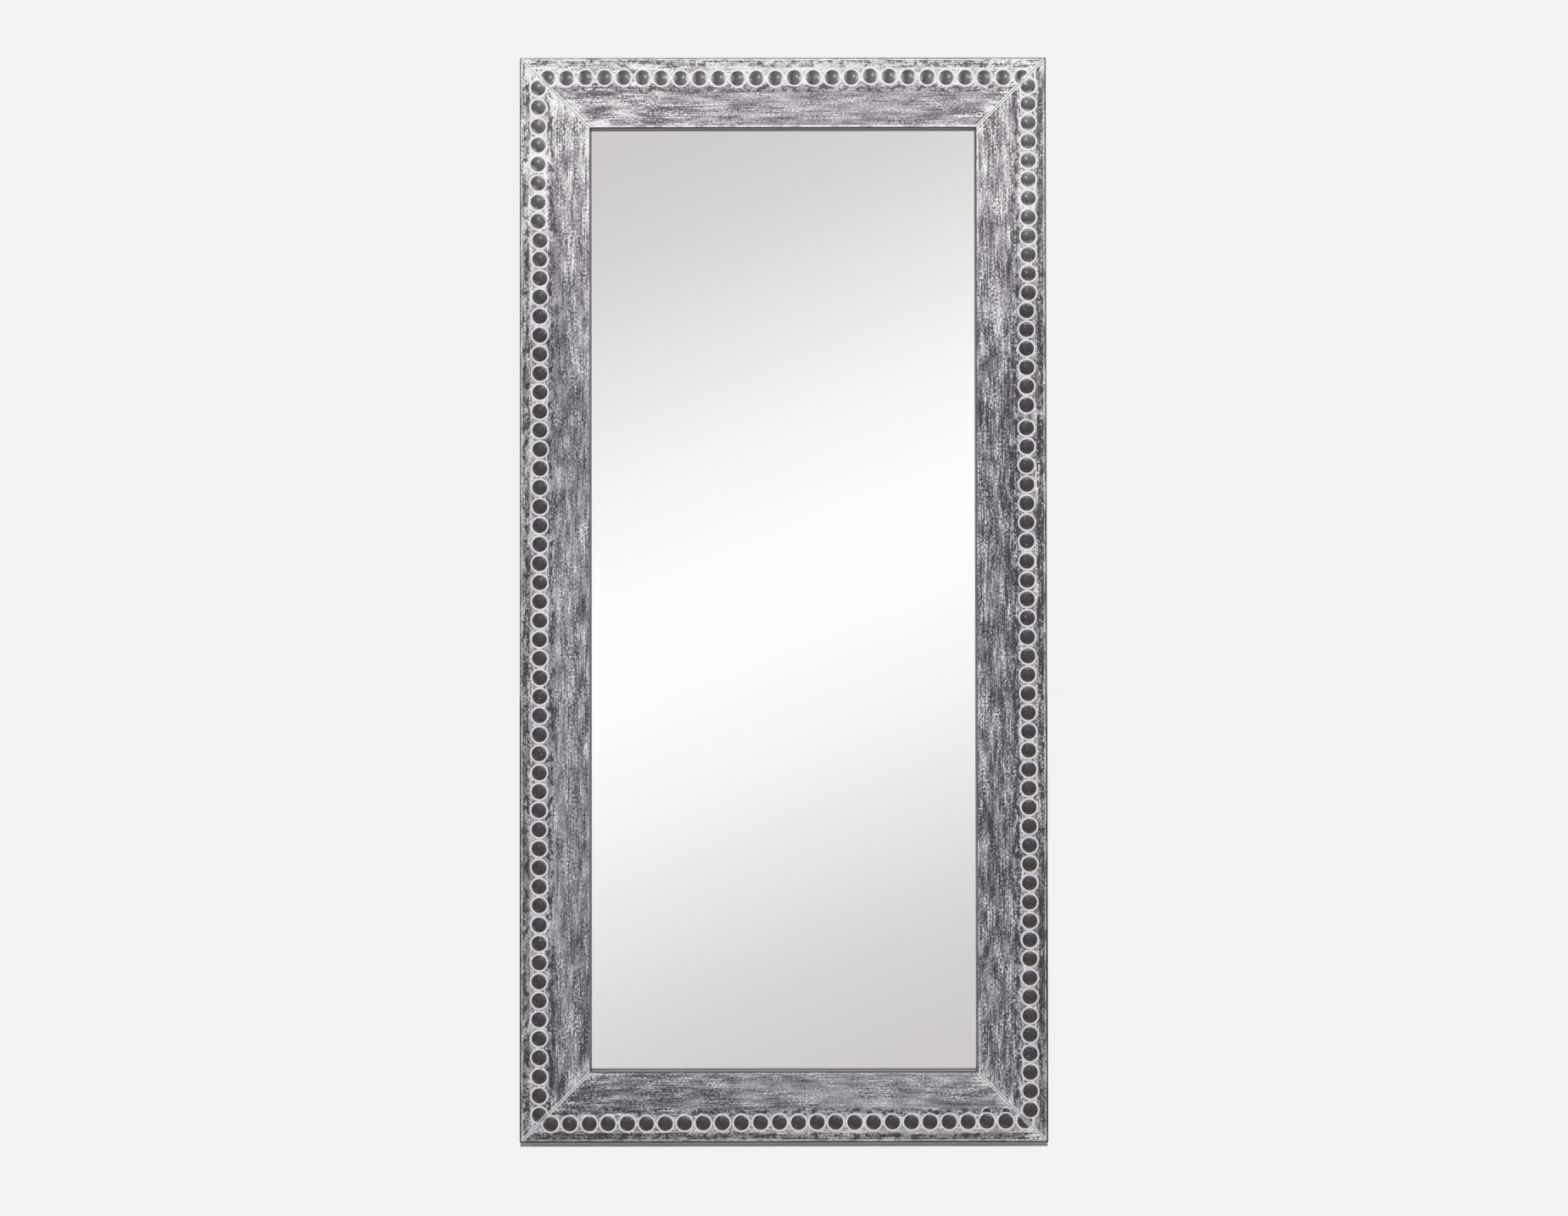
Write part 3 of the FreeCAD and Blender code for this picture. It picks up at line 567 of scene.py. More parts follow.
def thicken(mesh):
    """Turn a surface into a closed sheet of the iron's gauge, behind the surface."""
    points = vertex_values(mesh, "co")
    behind = points - GAUGE * vertex_values(mesh, "normal")
    count = len(points)
    faces = [tuple(p.vertices) for p in mesh.polygons]
    edge_uses = {}
    for face in faces:
        for a, b in zip(face, face[1:] + face[:1]):
            edge_uses.setdefault(frozenset((a, b)), []).append((a, b))
    rims = [uses[0] for uses in edge_uses.values() if len(uses) == 1]
    closed = faces + [tuple(v + count for v in reversed(face)) for face in faces]
    closed += [(b, a, a + count, b + count) for a, b in rims]
    mesh.clear_geometry()
    mesh.from_pydata(np.concatenate([points, behind]).tolist(), [], closed)
    mesh.update()


# Helpers for materials

NOISE_MIDDLE = 0.5


def plug(tree, socket, source):
    """Link an output to a socket, or set the socket to a plain value."""
    if isinstance(source, bpy.types.NodeSocket):
        tree.links.new(source, socket)
    else:
        socket.default_value = source


def calc(tree, operation, *sources, clamp=False):
    """The result of a sum or other operation on numbers."""
    node = tree.nodes.new("ShaderNodeMath")
    node.operation = operation
    node.use_clamp = clamp
    for socket, source in zip(node.inputs, sources):
        plug(tree, socket, source)
    return node.outputs[0]


def step(tree, value, low, high, to_low=0.0, to_high=1.0):
    """An even S between two results as a value goes from low to high."""
    node = tree.nodes.new("ShaderNodeMapRange")
    node.interpolation_type = "SMOOTHSTEP"
    sources = {"Value": value, "From Min": low, "From Max": high, "To Min": to_low, "To Max": to_high}
    for key, source in sources.items():
        plug(tree, node.inputs[key], source)
    return node.outputs["Result"]


def blend(tree, share, first, second):
    """A share of the way from one colour to another."""
    node = tree.nodes.new("ShaderNodeMix")
    node.data_type = "RGBA"
    plug(tree, node.inputs[0], share)
    plug(tree, node.inputs[6], first)
    plug(tree, node.inputs[7], second)
    return node.outputs[2]


def mixed(tree, share, first, second):
    """A share of the way from one number to another."""
    node = tree.nodes.new("ShaderNodeMix")
    node.data_type = "FLOAT"
    plug(tree, node.inputs[0], share)
    plug(tree, node.inputs[2], first)
    plug(tree, node.inputs[3], second)
    return node.outputs[0]


def stretched(tree, vector, spans):
    """The vector divided by a span along each axis."""
    node = tree.nodes.new("ShaderNodeVectorMath")
    node.operation = "DIVIDE"
    plug(tree, node.inputs[0], vector)
    node.inputs[1].default_value = spans
    return node.outputs[0]


def noise(tree, vector, spans, detail=2.0, roughness=0.55):
    """A soft noise of 0 to 1, with its own span along each axis."""
    node = tree.nodes.new("ShaderNodeTexNoise")
    plug(tree, node.inputs["Vector"], stretched(tree, vector, spans))
    node.inputs["Scale"].default_value = 1.0
    node.inputs["Detail"].default_value = detail
    node.inputs["Roughness"].default_value = roughness
    return node.outputs[0]


def around_zero(tree, value, reach):
    """A noise of 0 to 1 as a push of about plus or minus half the reach."""
    return calc(tree, "MULTIPLY", calc(tree, "SUBTRACT", value, NOISE_MIDDLE), reach)


def total(tree, *sources):
    """The sum of several numbers."""
    result = sources[0]
    for source in sources[1:]:
        result = calc(tree, "ADD", result, source)
    return result


def bump(tree, height, distance, strength=1.0):
    """A normal that follows a height, over a distance in metres."""
    node = tree.nodes.new("ShaderNodeBump")
    node.inputs["Strength"].default_value = strength
    node.inputs["Distance"].default_value = distance
    plug(tree, node.inputs["Height"], height)
    return node.outputs[0]


def new_material(name):
    """A new material, with its tree and its shader."""
    material = bpy.data.materials.new(name)
    material.use_nodes = True
    tree = material.node_tree
    return material, tree, tree.nodes["Principled BSDF"]


def attribute(tree, name):
    """A vector that the mesh carries at each point."""
    node = tree.nodes.new("ShaderNodeAttribute")
    node.attribute_name = name
    return node.outputs["Vector"]


def parts(tree, vector):
    """The three parts of a vector."""
    node = tree.nodes.new("ShaderNodeSeparateXYZ")
    plug(tree, node.inputs[0], vector)
    return node.outputs


# Tones of the iron and its wash, 0 for black to 1 for white as seen; pairs are for thin and thick wash
EYE_POWER = 2.2
DARKEST = 0.15
RIM_TONES = (0.9, 0.95)
DISH_TONES = (0.235, 0.3)
FACE_TONES = (0.27, 0.37)
WALL_TONES = (0.33, 0.97)
# The dark of the painted shade on the outer edge, and of the cut seams
EDGE_TONE = 0.17
DOT_TONE = 0.9
PALE_TONES = (0.6, 0.95)
CHALK_TONES = (0.4, 0.8)
# Tones above which a dish takes the pale tint of its painted highlights and white wash
HIGHLIGHT_AND_WASH_TONES = (0.38, 0.6)

# Tints of the iron, the wash and the dishes; the dishes' bluish tint on their lit side is a painted
# reflection, and their pale tint covers both painted highlights and white wash
IRON_TINT = (1.0, 0.95, 1.03, 1)
IRON_TINT_THICK = (1.015, 0.945, 1.025, 1)
WHITE_TINT = (1.0, 0.985, 0.985, 1)
DISH_TINT_LOW = (1.12, 0.91, 0.88, 1)
DISH_REFLECTION_TINT = (0.96, 0.95, 1.17, 1)
DISH_TINT_THICK = (1.03, 0.93, 0.97, 1)
HIGHLIGHT_AND_WASH_TINT = (0.95, 0.97, 1.0, 1)
BLACK = (0, 0, 0, 1)

# The wash's marks: spans along and across a rail in millimetres, detail and roughness
STREAK = ((60, 2.4, 1), 3.0, 0.6)
GRAIN = ((3.7, 2.9, 1), 1.0, 0.5)
PATCH = ((52, 10, 1), 3.0, 0.6)
BROAD = ((260, 45, 1), 2.0, 0.5)
CLOUD = ((46, 24, 1), 3.0, 0.55)
CALM = ((70, 26, 1), 2.0, 0.5)
SPECK = ((2.6, 2.2, 1), 0.0, 0.5)
SMUDGE = ((14, 9, 1), 3.0, 0.6)
LIP = ((26, 40, 1), 3.0, 0.6)

# How much each mark moves the tone
STREAK_REACH = 1.0
GRAIN_REACH = 1.0
PATCH_REACH = 0.8
CLOUD_REACH = 0.6
BROAD_REACH = 0.3
CALM_NOISE = (0.38, 0.62)
CALM_SHARES = (0.6, 1.3)
SPECK_NOISE = (0.68, 0.76)
SPECK_LIFT = 0.22
BLOTCH_NOISE = (0.52, 0.56)
BLOTCH_DROP = -0.32
BAND_LIFTS = (0.11, 0.16)
OUTER_WALL_DROP = -0.1
RETURN_DROP = -0.12
BROKEN_NOISE = (0.4, 0.56)
BROKEN_SHARES = (0.4, 1.0)

# Zones across the sheet, in millimetres along its fold: where each rises and where it falls
BAND_ZONE = (13, 18, 46, 50)
INSIDE_ZONE = (42, 45, 54, 60)
LIP_ZONE = (-0.1, 0.6, 1.8, 3.0)
INNER_LIP_ZONE = (113.8, 114.6, 116.6, 117.4)
WALL_ZONE = (121.0, 122.0, 128.6, 129.8)
# Where the painted shade on the outer bend rises and ends
OUTER_SHADE_RISE = (-2.6, -1.4)
OUTER_SHADE_START = 0.9
INNER_BEND = (117.0, 117.8)
OUTER_WALL = (-1.4, -2.6)
RETURN_START = (-20.0, -22.0)

# The seams, in millimetres from the mitre
SEAM_ZONE = (0.5, 0.8, 2.5, 3.2)
SEAM_SHARE = 0.9
SEAM_LINE_ZONE = (3.2, 3.6, 4.2, 4.8)
SEAM_LINE_DROP = -0.3
NEAR_SEAM = (22, 3)
NEAR_SEAM_LIFT = 0.14
NEAR_SEAM_CONTRAST = 0.35
CUT = (0.5, 0.36)
CUT_SHARE = 0.6

# The dimples, in millimetres from their middles
DISH_EDGE = (12.9, 12.1)
RIM_ZONE = (12.2, 13.0, 15.2, 16.2)
RIM_SHARE = 0.95
RIM_WANDER = 1.2
RAGGED_SMUDGE = 9.0
RAGGED_GRAIN = 7.0
# A painted glow on the dish's lit side, stronger with thick wash
PAINTED_GLOW_PLACES = (-12.0, 12.0)
PAINTED_GLOW_LIFTS = (0.08, 0.2)
# Where the dish's brown gives way to a painted bluish reflection on its lit side
REFLECTION_TINT_PLACES = (-9.0, 9.0)
# A ragged painted highlight crescent on the dish's lit side
HIGHLIGHT_CRESCENT_PLACES = (7.5, 11.0)
HIGHLIGHT_CRESCENT_LIFT = 0.55
# A ragged painted reflection on the dish's far side
FAR_REFLECTION_PLACES = (4.0, 13.0)
FAR_REFLECTION_LIFTS = (0.1, 0.4)
# A small painted highlight spot in the dish
HIGHLIGHT_SPOT_PLACE = (4.5, 3.0)
HIGHLIGHT_SPOT_SIZE = (3.8, 0.5)
HIGHLIGHT_SPOT_LIFTS = (0.08, 0.3)
SEAM_IN_DISH = (6.5, 2.5)
SEAM_IN_DISH_LIFT = 0.45
DISH_GRAIN = 0.12
DOT_SIZE = (1.7, 0.8)
STRAY_ARC_ZONE = (6.6, 7.4, 8.4, 9.6)
STRAY_ARC_LIFT = 0.3
STRAY_INSIDE = (7.0, 5.8)
STRAY_DROP = -0.45

# The iron's shine and the wash's relief, in metres
IRON_SPECULAR = 0.2
IRON_ROUGHNESS = 0.38
CHALK_ROUGHNESS = 0.7
CHALK_RELIEF = 0.0002
CHALK_STRENGTH = 0.6


def whitewashed_iron():
    """Dark iron with a white wash dragged along each rail, thickest on the rims, edges and seams."""
    material, tree, shader = new_material("whitewashed_iron")
    lay = attribute(tree, "lay")
    across = parts(tree, lay)[1]
    near, mitre, stray = parts(tree, attribute(tree, "marks"))
    lit, side, dot = parts(tree, attribute(tree, "dish"))
    tone, contrast, thick = parts(tree, attribute(tree, "wash"))
    painted_glint, lip, pale_wall = parts(tree, attribute(tree, "habits"))
    edge, fold_tone, inner_lip = parts(tree, attribute(tree, "bends"))
    streak = noise(tree, lay, *STREAK)
    grain = noise(tree, lay, *GRAIN)
    smudge = noise(tree, lay, *SMUDGE)
    calm = step(tree, noise(tree, lay, *CALM), *CALM_NOISE, *CALM_SHARES)
    broken = step(tree, noise(tree, lay, *LIP), *BROKEN_NOISE)

    def between(value, zone):
        rise_from, rise_to, fall_from, fall_to = zone
        return scaled(step(tree, value, rise_from, rise_to), step(tree, value, fall_to, fall_from))

    def scaled(value, share):
        return calc(tree, "MULTIPLY", value, share)

    def larger(first, second):
        return calc(tree, "MAXIMUM", first, second)

    def by_wash(pair):
        return mixed(tree, thick, *pair)

    # The wash on the face: its own tone, moved by streaks, grains and patches
    marks = total(
        tree,
        scaled(around_zero(tree, streak, STREAK_REACH), calm),
        scaled(around_zero(tree, grain, GRAIN_REACH), calm),
        around_zero(tree, noise(tree, lay, *PATCH), PATCH_REACH),
        around_zero(tree, noise(tree, lay, *CLOUD), CLOUD_REACH),
        around_zero(tree, noise(tree, lay, *BROAD), BROAD_REACH),
    )
    beside_row = larger(between(across, OUTSIDE_ZONE), between(across, INSIDE_ZONE))
    blotches = scaled(step(tree, smudge, *BLOTCH_NOISE), beside_row)
    by_seam = step(tree, mitre, *NEAR_SEAM)
    face = total(
        tree,
        tone,
        scaled(marks, total(tree, contrast, scaled(by_seam, NEAR_SEAM_CONTRAST))),
        scaled(between(across, BAND_ZONE), by_wash(BAND_LIFTS)),
        scaled(blotches, BLOTCH_DROP),
        scaled(step(tree, noise(tree, lay, *SPECK), *SPECK_NOISE), SPECK_LIFT),
        scaled(by_seam, NEAR_SEAM_LIFT),
        scaled(scaled(between(mitre, SEAM_LINE_ZONE), broken), SEAM_LINE_DROP),
        scaled(between(stray, STRAY_ARC_ZONE), STRAY_ARC_LIFT),
        scaled(step(tree, stray, *STRAY_INSIDE), STRAY_DROP),
        scaled(step(tree, across, *OUTER_WALL), OUTER_WALL_DROP),
        scaled(step(tree, across, *RETURN_START), RETURN_DROP),
    )
    rim_tone = by_wash(RIM_TONES)
    face = calc(tree, "MINIMUM", larger(face, by_wash(FACE_TONES)), rim_tone)
    lips = total(
        tree,
        scaled(between(calc(tree, "SUBTRACT", across, edge), LIP_ZONE), lip),
        scaled(between(across, INNER_LIP_ZONE), larger(inner_lip, thick)),
    )
    lips = scaled(lips, mixed(tree, broken, *BROKEN_SHARES))
    face = mixed(tree, larger(scaled(between(mitre, SEAM_ZONE), SEAM_SHARE), lips), face, rim_tone)

    # Dimples: a dark dish with painted light (a glow, a ragged highlight crescent and a highlight spot on its
    # lit side, and a ragged painted reflection on its far side), white wash by the seams, and a white rim
    inside = step(tree, near, *DISH_EDGE)
    ragged = total(tree, around_zero(tree, smudge, RAGGED_SMUDGE), around_zero(tree, grain, RAGGED_GRAIN))
    highlight_crescent = scaled(step(tree, total(tree, lit, ragged), *HIGHLIGHT_CRESCENT_PLACES), painted_glint)
    far_side_reflection = step(tree, calc(tree, "SUBTRACT", ragged, lit), *FAR_REFLECTION_PLACES)
    highlight_along = calc(tree, "SUBTRACT", lit, HIGHLIGHT_SPOT_PLACE[0])
    highlight_aside = calc(tree, "SUBTRACT", side, HIGHLIGHT_SPOT_PLACE[1])
    highlight_square = total(tree, scaled(highlight_along, highlight_along), scaled(highlight_aside, highlight_aside))
    from_highlight = calc(tree, "SQRT", highlight_square)
    dish = total(
        tree,
        by_wash(DISH_TONES),
        scaled(step(tree, lit, *PAINTED_GLOW_PLACES), by_wash(PAINTED_GLOW_LIFTS)),
        scaled(highlight_crescent, HIGHLIGHT_CRESCENT_LIFT),
        scaled(far_side_reflection, by_wash(FAR_REFLECTION_LIFTS)),
        scaled(step(tree, from_highlight, *HIGHLIGHT_SPOT_SIZE), by_wash(HIGHLIGHT_SPOT_LIFTS)),
        scaled(step(tree, total(tree, mitre, ragged), *SEAM_IN_DISH), SEAM_IN_DISH_LIFT),
        around_zero(tree, grain, DISH_GRAIN),
    )
    dish = mixed(tree, step(tree, dot, *DOT_SIZE), dish, DOT_TONE)
    rim = between(total(tree, near, around_zero(tree, smudge, RIM_WANDER)), RIM_ZONE)
    washed = mixed(tree, scaled(rim, RIM_SHARE), mixed(tree, inside, face, dish), rim_tone)

    # Folds: painted shade on the outer edge, dark on the inner bend, grey on the inner wall, dark in the
    # seams
    outer_edge_shade = scaled(step(tree, across, *OUTER_SHADE_RISE), step(tree, across, edge, OUTER_SHADE_START))
    wall_tone = mixed(tree, pale_wall, *WALL_TONES)
    inner = mixed(tree, between(across, WALL_ZONE), fold_tone, wall_tone)
    seen = mixed(tree, outer_edge_shade, washed, EDGE_TONE)
    seen = mixed(tree, step(tree, across, *INNER_BEND), seen, inner)
    seen = mixed(tree, scaled(step(tree, mitre, *CUT), CUT_SHARE), seen, EDGE_TONE)

    tint = blend(tree, thick, IRON_TINT, IRON_TINT_THICK)
    tint = blend(tree, step(tree, seen, *PALE_TONES), tint, WHITE_TINT)
    # Dish tint: brown iron on the side away from the light, a painted bluish reflection on the lit side, and
    # a pale tint where painted highlights and wash are bright
    dish_tint = blend(tree, step(tree, lit, *REFLECTION_TINT_PLACES), DISH_TINT_LOW, DISH_REFLECTION_TINT)
    dish_tint = blend(tree, thick, dish_tint, DISH_TINT_THICK)
    dish_tint = blend(tree, step(tree, seen, *HIGHLIGHT_AND_WASH_TONES), dish_tint, HIGHLIGHT_AND_WASH_TINT)
    tint = blend(tree, inside, tint, dish_tint)
    light = calc(tree, "POWER", larger(seen, DARKEST), EYE_POWER, clamp=True)
    plug(tree, shader.inputs["Base Color"], blend(tree, light, BLACK, tint))
    chalk = scaled(step(tree, seen, *CHALK_TONES), calc(tree, "SUBTRACT", 1.0, inside))
    shader.inputs["Specular IOR Level"].default_value = IRON_SPECULAR
    plug(tree, shader.inputs["Roughness"], mixed(tree, chalk, IRON_ROUGHNESS, CHALK_ROUGHNESS))
    plug(tree, shader.inputs["Normal"], bump(tree, chalk, CHALK_RELIEF, CHALK_STRENGTH))
    return material


# The mirror: its faint film, in millimetres, and its reflection
FILM = ((140, 140, 140), 3.0, 0.5)
FILM_NOISE = (0.3, 0.7)
MIRROR_TINTS = ((0.985, 0.985, 0.982, 1), (0.995, 0.994, 0.992, 1))
MIRROR_ROUGHNESS = (0.004, 0.012)

# How boards vary, and where the core's face under the iron is painted dark as shade in the seams, in
# millimetres
SHADE_NOISE = (0.25, 0.75)
FIBRE_NOISE = (4.0, 0.65)
BOARD_SPECKS = (2.0, 0.7)
BOARD_SPECKS_REACH = 0.7
BOARD_SPECKS_NOISE = (0.2, 0.8)
BOARD_CLOUD = ((90, 90, 90), 2.0, 0.5)
BOARD_CLOUD_REACH = 0.5
BOARD_ROUGHNESS_REACH = 0.08
SHADED_FRONT_PLACES = (-9.0, -12.0)
PAINTED_SHADE_FRONT = (0.018, 0.016, 0.016, 1)

# Each board: its tints, the spans of its fibres and specks in millimetres, and its relief in metres
BOARDS = {
    "core": {
        "name": "core_board", "light": (0.47, 0.34, 0.22, 1), "dark": (0.32, 0.21, 0.12, 1),
        "spans": (5, 5, 5), "speck": 0.9, "rough": 0.8, "relief": 0.00012,
    },
    "mitre_dowels": {
        "name": "dowel_wood", "light": (0.52, 0.36, 0.2, 1), "dark": (0.33, 0.2, 0.1, 1),
        "spans": (1.2, 1.2, 1.2), "speck": 0.6, "rough": 0.65, "relief": 0.0001,
    },
    "back_panel": {
        "name": "panel_board", "light": (0.3, 0.19, 0.105, 1), "dark": (0.16, 0.095, 0.05, 1),
        "spans": (9, 9, 9), "speck": 1.1, "rough": 0.62, "relief": 0.0002,
    },
    "cushion_sheet": {
        "name": "cushion_board", "light": (0.5, 0.4, 0.28, 1), "dark": (0.4, 0.3, 0.2, 1),
        "spans": (14, 14, 3), "speck": 1.2, "rough": 0.85, "relief": 0.0001,
    },
}

# How plain metals vary
DRAWN_NOISE = (3.0, 0.65)
DRAWN_SHARE = 0.2
SPOTS = ((3.0, 3.0, 3.0), 3.0, 0.6)
SPOTS_REACH = 0.8
METAL_ROUGHNESS_DROP = 0.08
METAL_ROUGHNESS_RISE = 0.1

# Each plain metal: its tints, the span of its drawing marks in millimetres, and its relief in metres
METALS = {
    "cladding_tacks": {
        "name": "tack_steel", "light": (0.4, 0.39, 0.38, 1), "dark": (0.2, 0.19, 0.18, 1),
        "rough": 0.38, "span": 1.2, "relief": 0.00005,
    },
    "zinc_screws": {
        "name": "zinc_screw", "light": (0.66, 0.58, 0.4, 1), "dark": (0.42, 0.36, 0.23, 1),
        "rough": 0.3, "span": 1.0, "relief": 0.00004,
    },
    "corner_plate": {
        "name": "zinc_plate", "light": (0.68, 0.69, 0.7, 1), "dark": (0.5, 0.51, 0.52, 1),
        "rough": 0.36, "span": 1.6, "relief": 0.00005,
    },
    "hanger_strap": {
        "name": "hanger_steel", "light": (0.66, 0.66, 0.65, 1), "dark": (0.46, 0.46, 0.45, 1),
        "rough": 0.34, "span": 1.4, "relief": 0.00005,
    },
    "hanger_ring": {
        "name": "ring_wire", "light": (0.74, 0.73, 0.71, 1), "dark": (0.55, 0.54, 0.52, 1),
        "rough": 0.25, "span": 0.8, "relief": 0.00003,
    },
}
ZINC_SCREWS = ("back_panel_screws", "corner_plate_screws", "hanger_screws")

# The rubber of the setting blocks: spans in millimetres and relief in metres
BLOOM = ((6, 6, 6), 3.0, 0.6)
BLOOM_NOISE = (0.2, 0.8)
RUBBER_TINTS = ((0.02, 0.02, 0.021, 1), (0.05, 0.05, 0.052, 1))
RUBBER_ROUGHNESS = (0.6, 0.8)
RUBBER_GRAIN = (0.8, 0.8, 0.8)
RUBBER_RELIEF = 0.0001


def object_place(tree):
    """The surface point in millimetres, in the part's own frame."""
    node = tree.nodes.new("ShaderNodeTexCoord")
    return stretched(tree, node.outputs["Object"], (MM, MM, MM))


def mirror():
    """Silvered glass: a clean reflection with the faintest haze."""
    material, tree, shader = new_material("mirror")
    film = noise(tree, object_place(tree), *FILM)
    plug(tree, shader.inputs["Base Color"], blend(tree, film, *MIRROR_TINTS))
    shader.inputs["Metallic"].default_value = 1.0
    plug(tree, shader.inputs["Roughness"], step(tree, film, *FILM_NOISE, *MIRROR_ROUGHNESS))
    return material


def board(name, light, dark, spans, speck, rough, relief):
    """A pressed or sawn board: long soft fibres, fine specks and a matt face."""
    material, tree, shader = new_material(name)
    place = object_place(tree)
    fibre = noise(tree, place, spans, *FIBRE_NOISE)
    specks = noise(tree, place, (speck, speck, speck), *BOARD_SPECKS)
    speckle = around_zero(tree, specks, BOARD_SPECKS_REACH)
    cloud = around_zero(tree, noise(tree, place, *BOARD_CLOUD), BOARD_CLOUD_REACH)
    shade = total(tree, fibre, speckle, cloud)
    face = blend(tree, step(tree, shade, *SHADE_NOISE), dark, light)
    # Painted shade: boards are dark towards the front, where they lie under the iron and show only through
    # the seams
    shaded_front = step(tree, parts(tree, place)[1], *SHADED_FRONT_PLACES)
    plug(tree, shader.inputs["Base Color"], blend(tree, shaded_front, face, PAINTED_SHADE_FRONT))
    roughness = (rough - BOARD_ROUGHNESS_REACH, rough + BOARD_ROUGHNESS_REACH)
    plug(tree, shader.inputs["Roughness"], step(tree, specks, *BOARD_SPECKS_NOISE, *roughness))
    plug(tree, shader.inputs["Normal"], bump(tree, shade, relief))
    return material


def plain_metal(name, light, dark, rough, span, relief):
    """Plated or bright steel with fine drawing marks, dull spots and a little handling grime."""
    material, tree, shader = new_material(name)
    place = object_place(tree)
    marks = noise(tree, place, (span, span, span * DRAWN_SHARE), *DRAWN_NOISE)
    spots = noise(tree, place, *SPOTS)
    shade = total(tree, marks, around_zero(tree, spots, SPOTS_REACH))
    plug(tree, shader.inputs["Base Color"], blend(tree, step(tree, shade, *SHADE_NOISE), dark, light))
    shader.inputs["Metallic"].default_value = 1.0
    roughness = (rough - METAL_ROUGHNESS_DROP, rough + METAL_ROUGHNESS_RISE)
    plug(tree, shader.inputs["Roughness"], step(tree, spots, *SHADE_NOISE, *roughness))
    plug(tree, shader.inputs["Normal"], bump(tree, marks, relief))
    return material


def rubber():
    """Black rubber with a faint grey bloom."""
    material, tree, shader = new_material("setting_rubber")
    place = object_place(tree)
    bloom = noise(tree, place, *BLOOM)
    plug(tree, shader.inputs["Base Color"], blend(tree, bloom, *RUBBER_TINTS))
    plug(tree, shader.inputs["Roughness"], step(tree, bloom, *BLOOM_NOISE, *RUBBER_ROUGHNESS))
    plug(tree, shader.inputs["Normal"], bump(tree, noise(tree, place, RUBBER_GRAIN), RUBBER_RELIEF))
    return material


def dress_nodes(iron):
    """Give every CAD node that stays in view its finish."""
    finishes = {"cladding": iron, "mirror_glass": mirror()}
    for key, values in BOARDS.items():
        finishes[key] = board(**values)
    finishes["setting_block"] = rubber()
    for key, values in METALS.items():
        finishes[key] = plain_metal(**values)
    for name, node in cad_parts.items():
        key = max((k for k in finishes if name.startswith(k)), key=len, default=None)
        if name.startswith(ZINC_SCREWS):
            key = "zinc_screws"
        node.data.materials.clear()
        node.data.materials.append(finishes[key])


# The camera: metres and degrees, with the scale and the centre in the photo's pixels
PHOTO_WIDTH = 1849
SENSOR = 36.0
CAMERA_DISTANCE = 3.4
CAMERA_SIDE = 0.0011
CAMERA_RISE = 0.05
CAMERA_PITCH = 0.516
CAMERA_ROLL = 0.07
SILHOUETTE_DEPTH = -0.028
SCALE_AT_FRAME = 698.9
CENTRE_ABOVE = 10.8

# The floor and the pale background, in metres
BACKDROP = 0.888
FLOOR_DROP = 0.0104
FLOOR_REACH = 12
FLOOR_ROUGHNESS = 0.9

# The room in the mirror: a tilted bright band, dimmer away from it, and other tones far below and above
BRIGHT_BAND_DROP = 0.01
BRIGHT_BAND_SLOPE = 0.395
BRIGHT_BAND_REACH = (0.0, 0.27)
BRIGHT_TINT = (1.0, 1.0, 0.995, 1)
DIM_TINT = (0.622, 0.605, 0.597, 1)
FAR_BELOW = (-0.3, -0.6)
FAR_ABOVE = (0.3, 0.6)
FAR_ABOVE_TONE = 0.4
AMBIENT_TINT = (0.97, 0.98, 1.0, 1)
AMBIENT_STRENGTH = 0.05
FULL_STRENGTH = 1.0

# The lamps, all aimed at the frame's middle, in metres and watts; only the key lamp lights the floor
FRAME_MIDDLE = (0, 0, 0)
FLOOR_LAMP = "key"
LAMPS = {
    "key": {"place": (0.0, -4.4, 2.6), "size": (0.25, 0.6), "power": 155, "colour": (1.0, 1.0, 1.0)},
    "fill": {"place": (0.0, -4.4, -0.7), "size": (0.6, 0.4), "power": 50, "colour": (0.98, 0.99, 1.0)},
    "back": {"place": (0.6, 4.4, 1.2), "size": (1.6, 1.0), "power": 140, "colour": (1.0, 0.985, 0.97)},
    "left": {"place": (-4.4, 0.4, 0.6), "size": (1.0, 1.0), "power": 110, "colour": (1.0, 1.0, 1.0)},
    "right": {"place": (4.4, 0.4, 0.6), "size": (1.0, 1.0), "power": 110, "colour": (1.0, 1.0, 1.0)},
}


def add_camera():
    """The photo's view: nearly level, and shifted rather than tilted."""
    focal = SCALE_AT_FRAME * CAMERA_DISTANCE
    data = bpy.data.cameras.new("camera")
    data.sensor_width = SENSOR
    data.sensor_fit = "HORIZONTAL"
    data.lens = focal * SENSOR / PHOTO_WIDTH
    pitch = math.radians(CAMERA_PITCH)
    drop = math.tan(pitch) + CAMERA_RISE / CAMERA_DISTANCE
    data.shift_y = -(CENTRE_ABOVE + focal * drop) / PHOTO_WIDTH
    camera = bpy.data.objects.new("camera", data)
    camera.location = (CAMERA_SIDE, SILHOUETTE_DEPTH - CAMERA_DISTANCE, CAMERA_RISE)
    camera.rotation_euler = (math.pi / 2 + pitch, math.radians(CAMERA_ROLL), 0)
    bpy.context.scene.collection.objects.link(camera)
    bpy.context.scene.camera = camera


def grey(tone):
    """An even grey of a tone."""
    return (tone, tone, tone, 1)


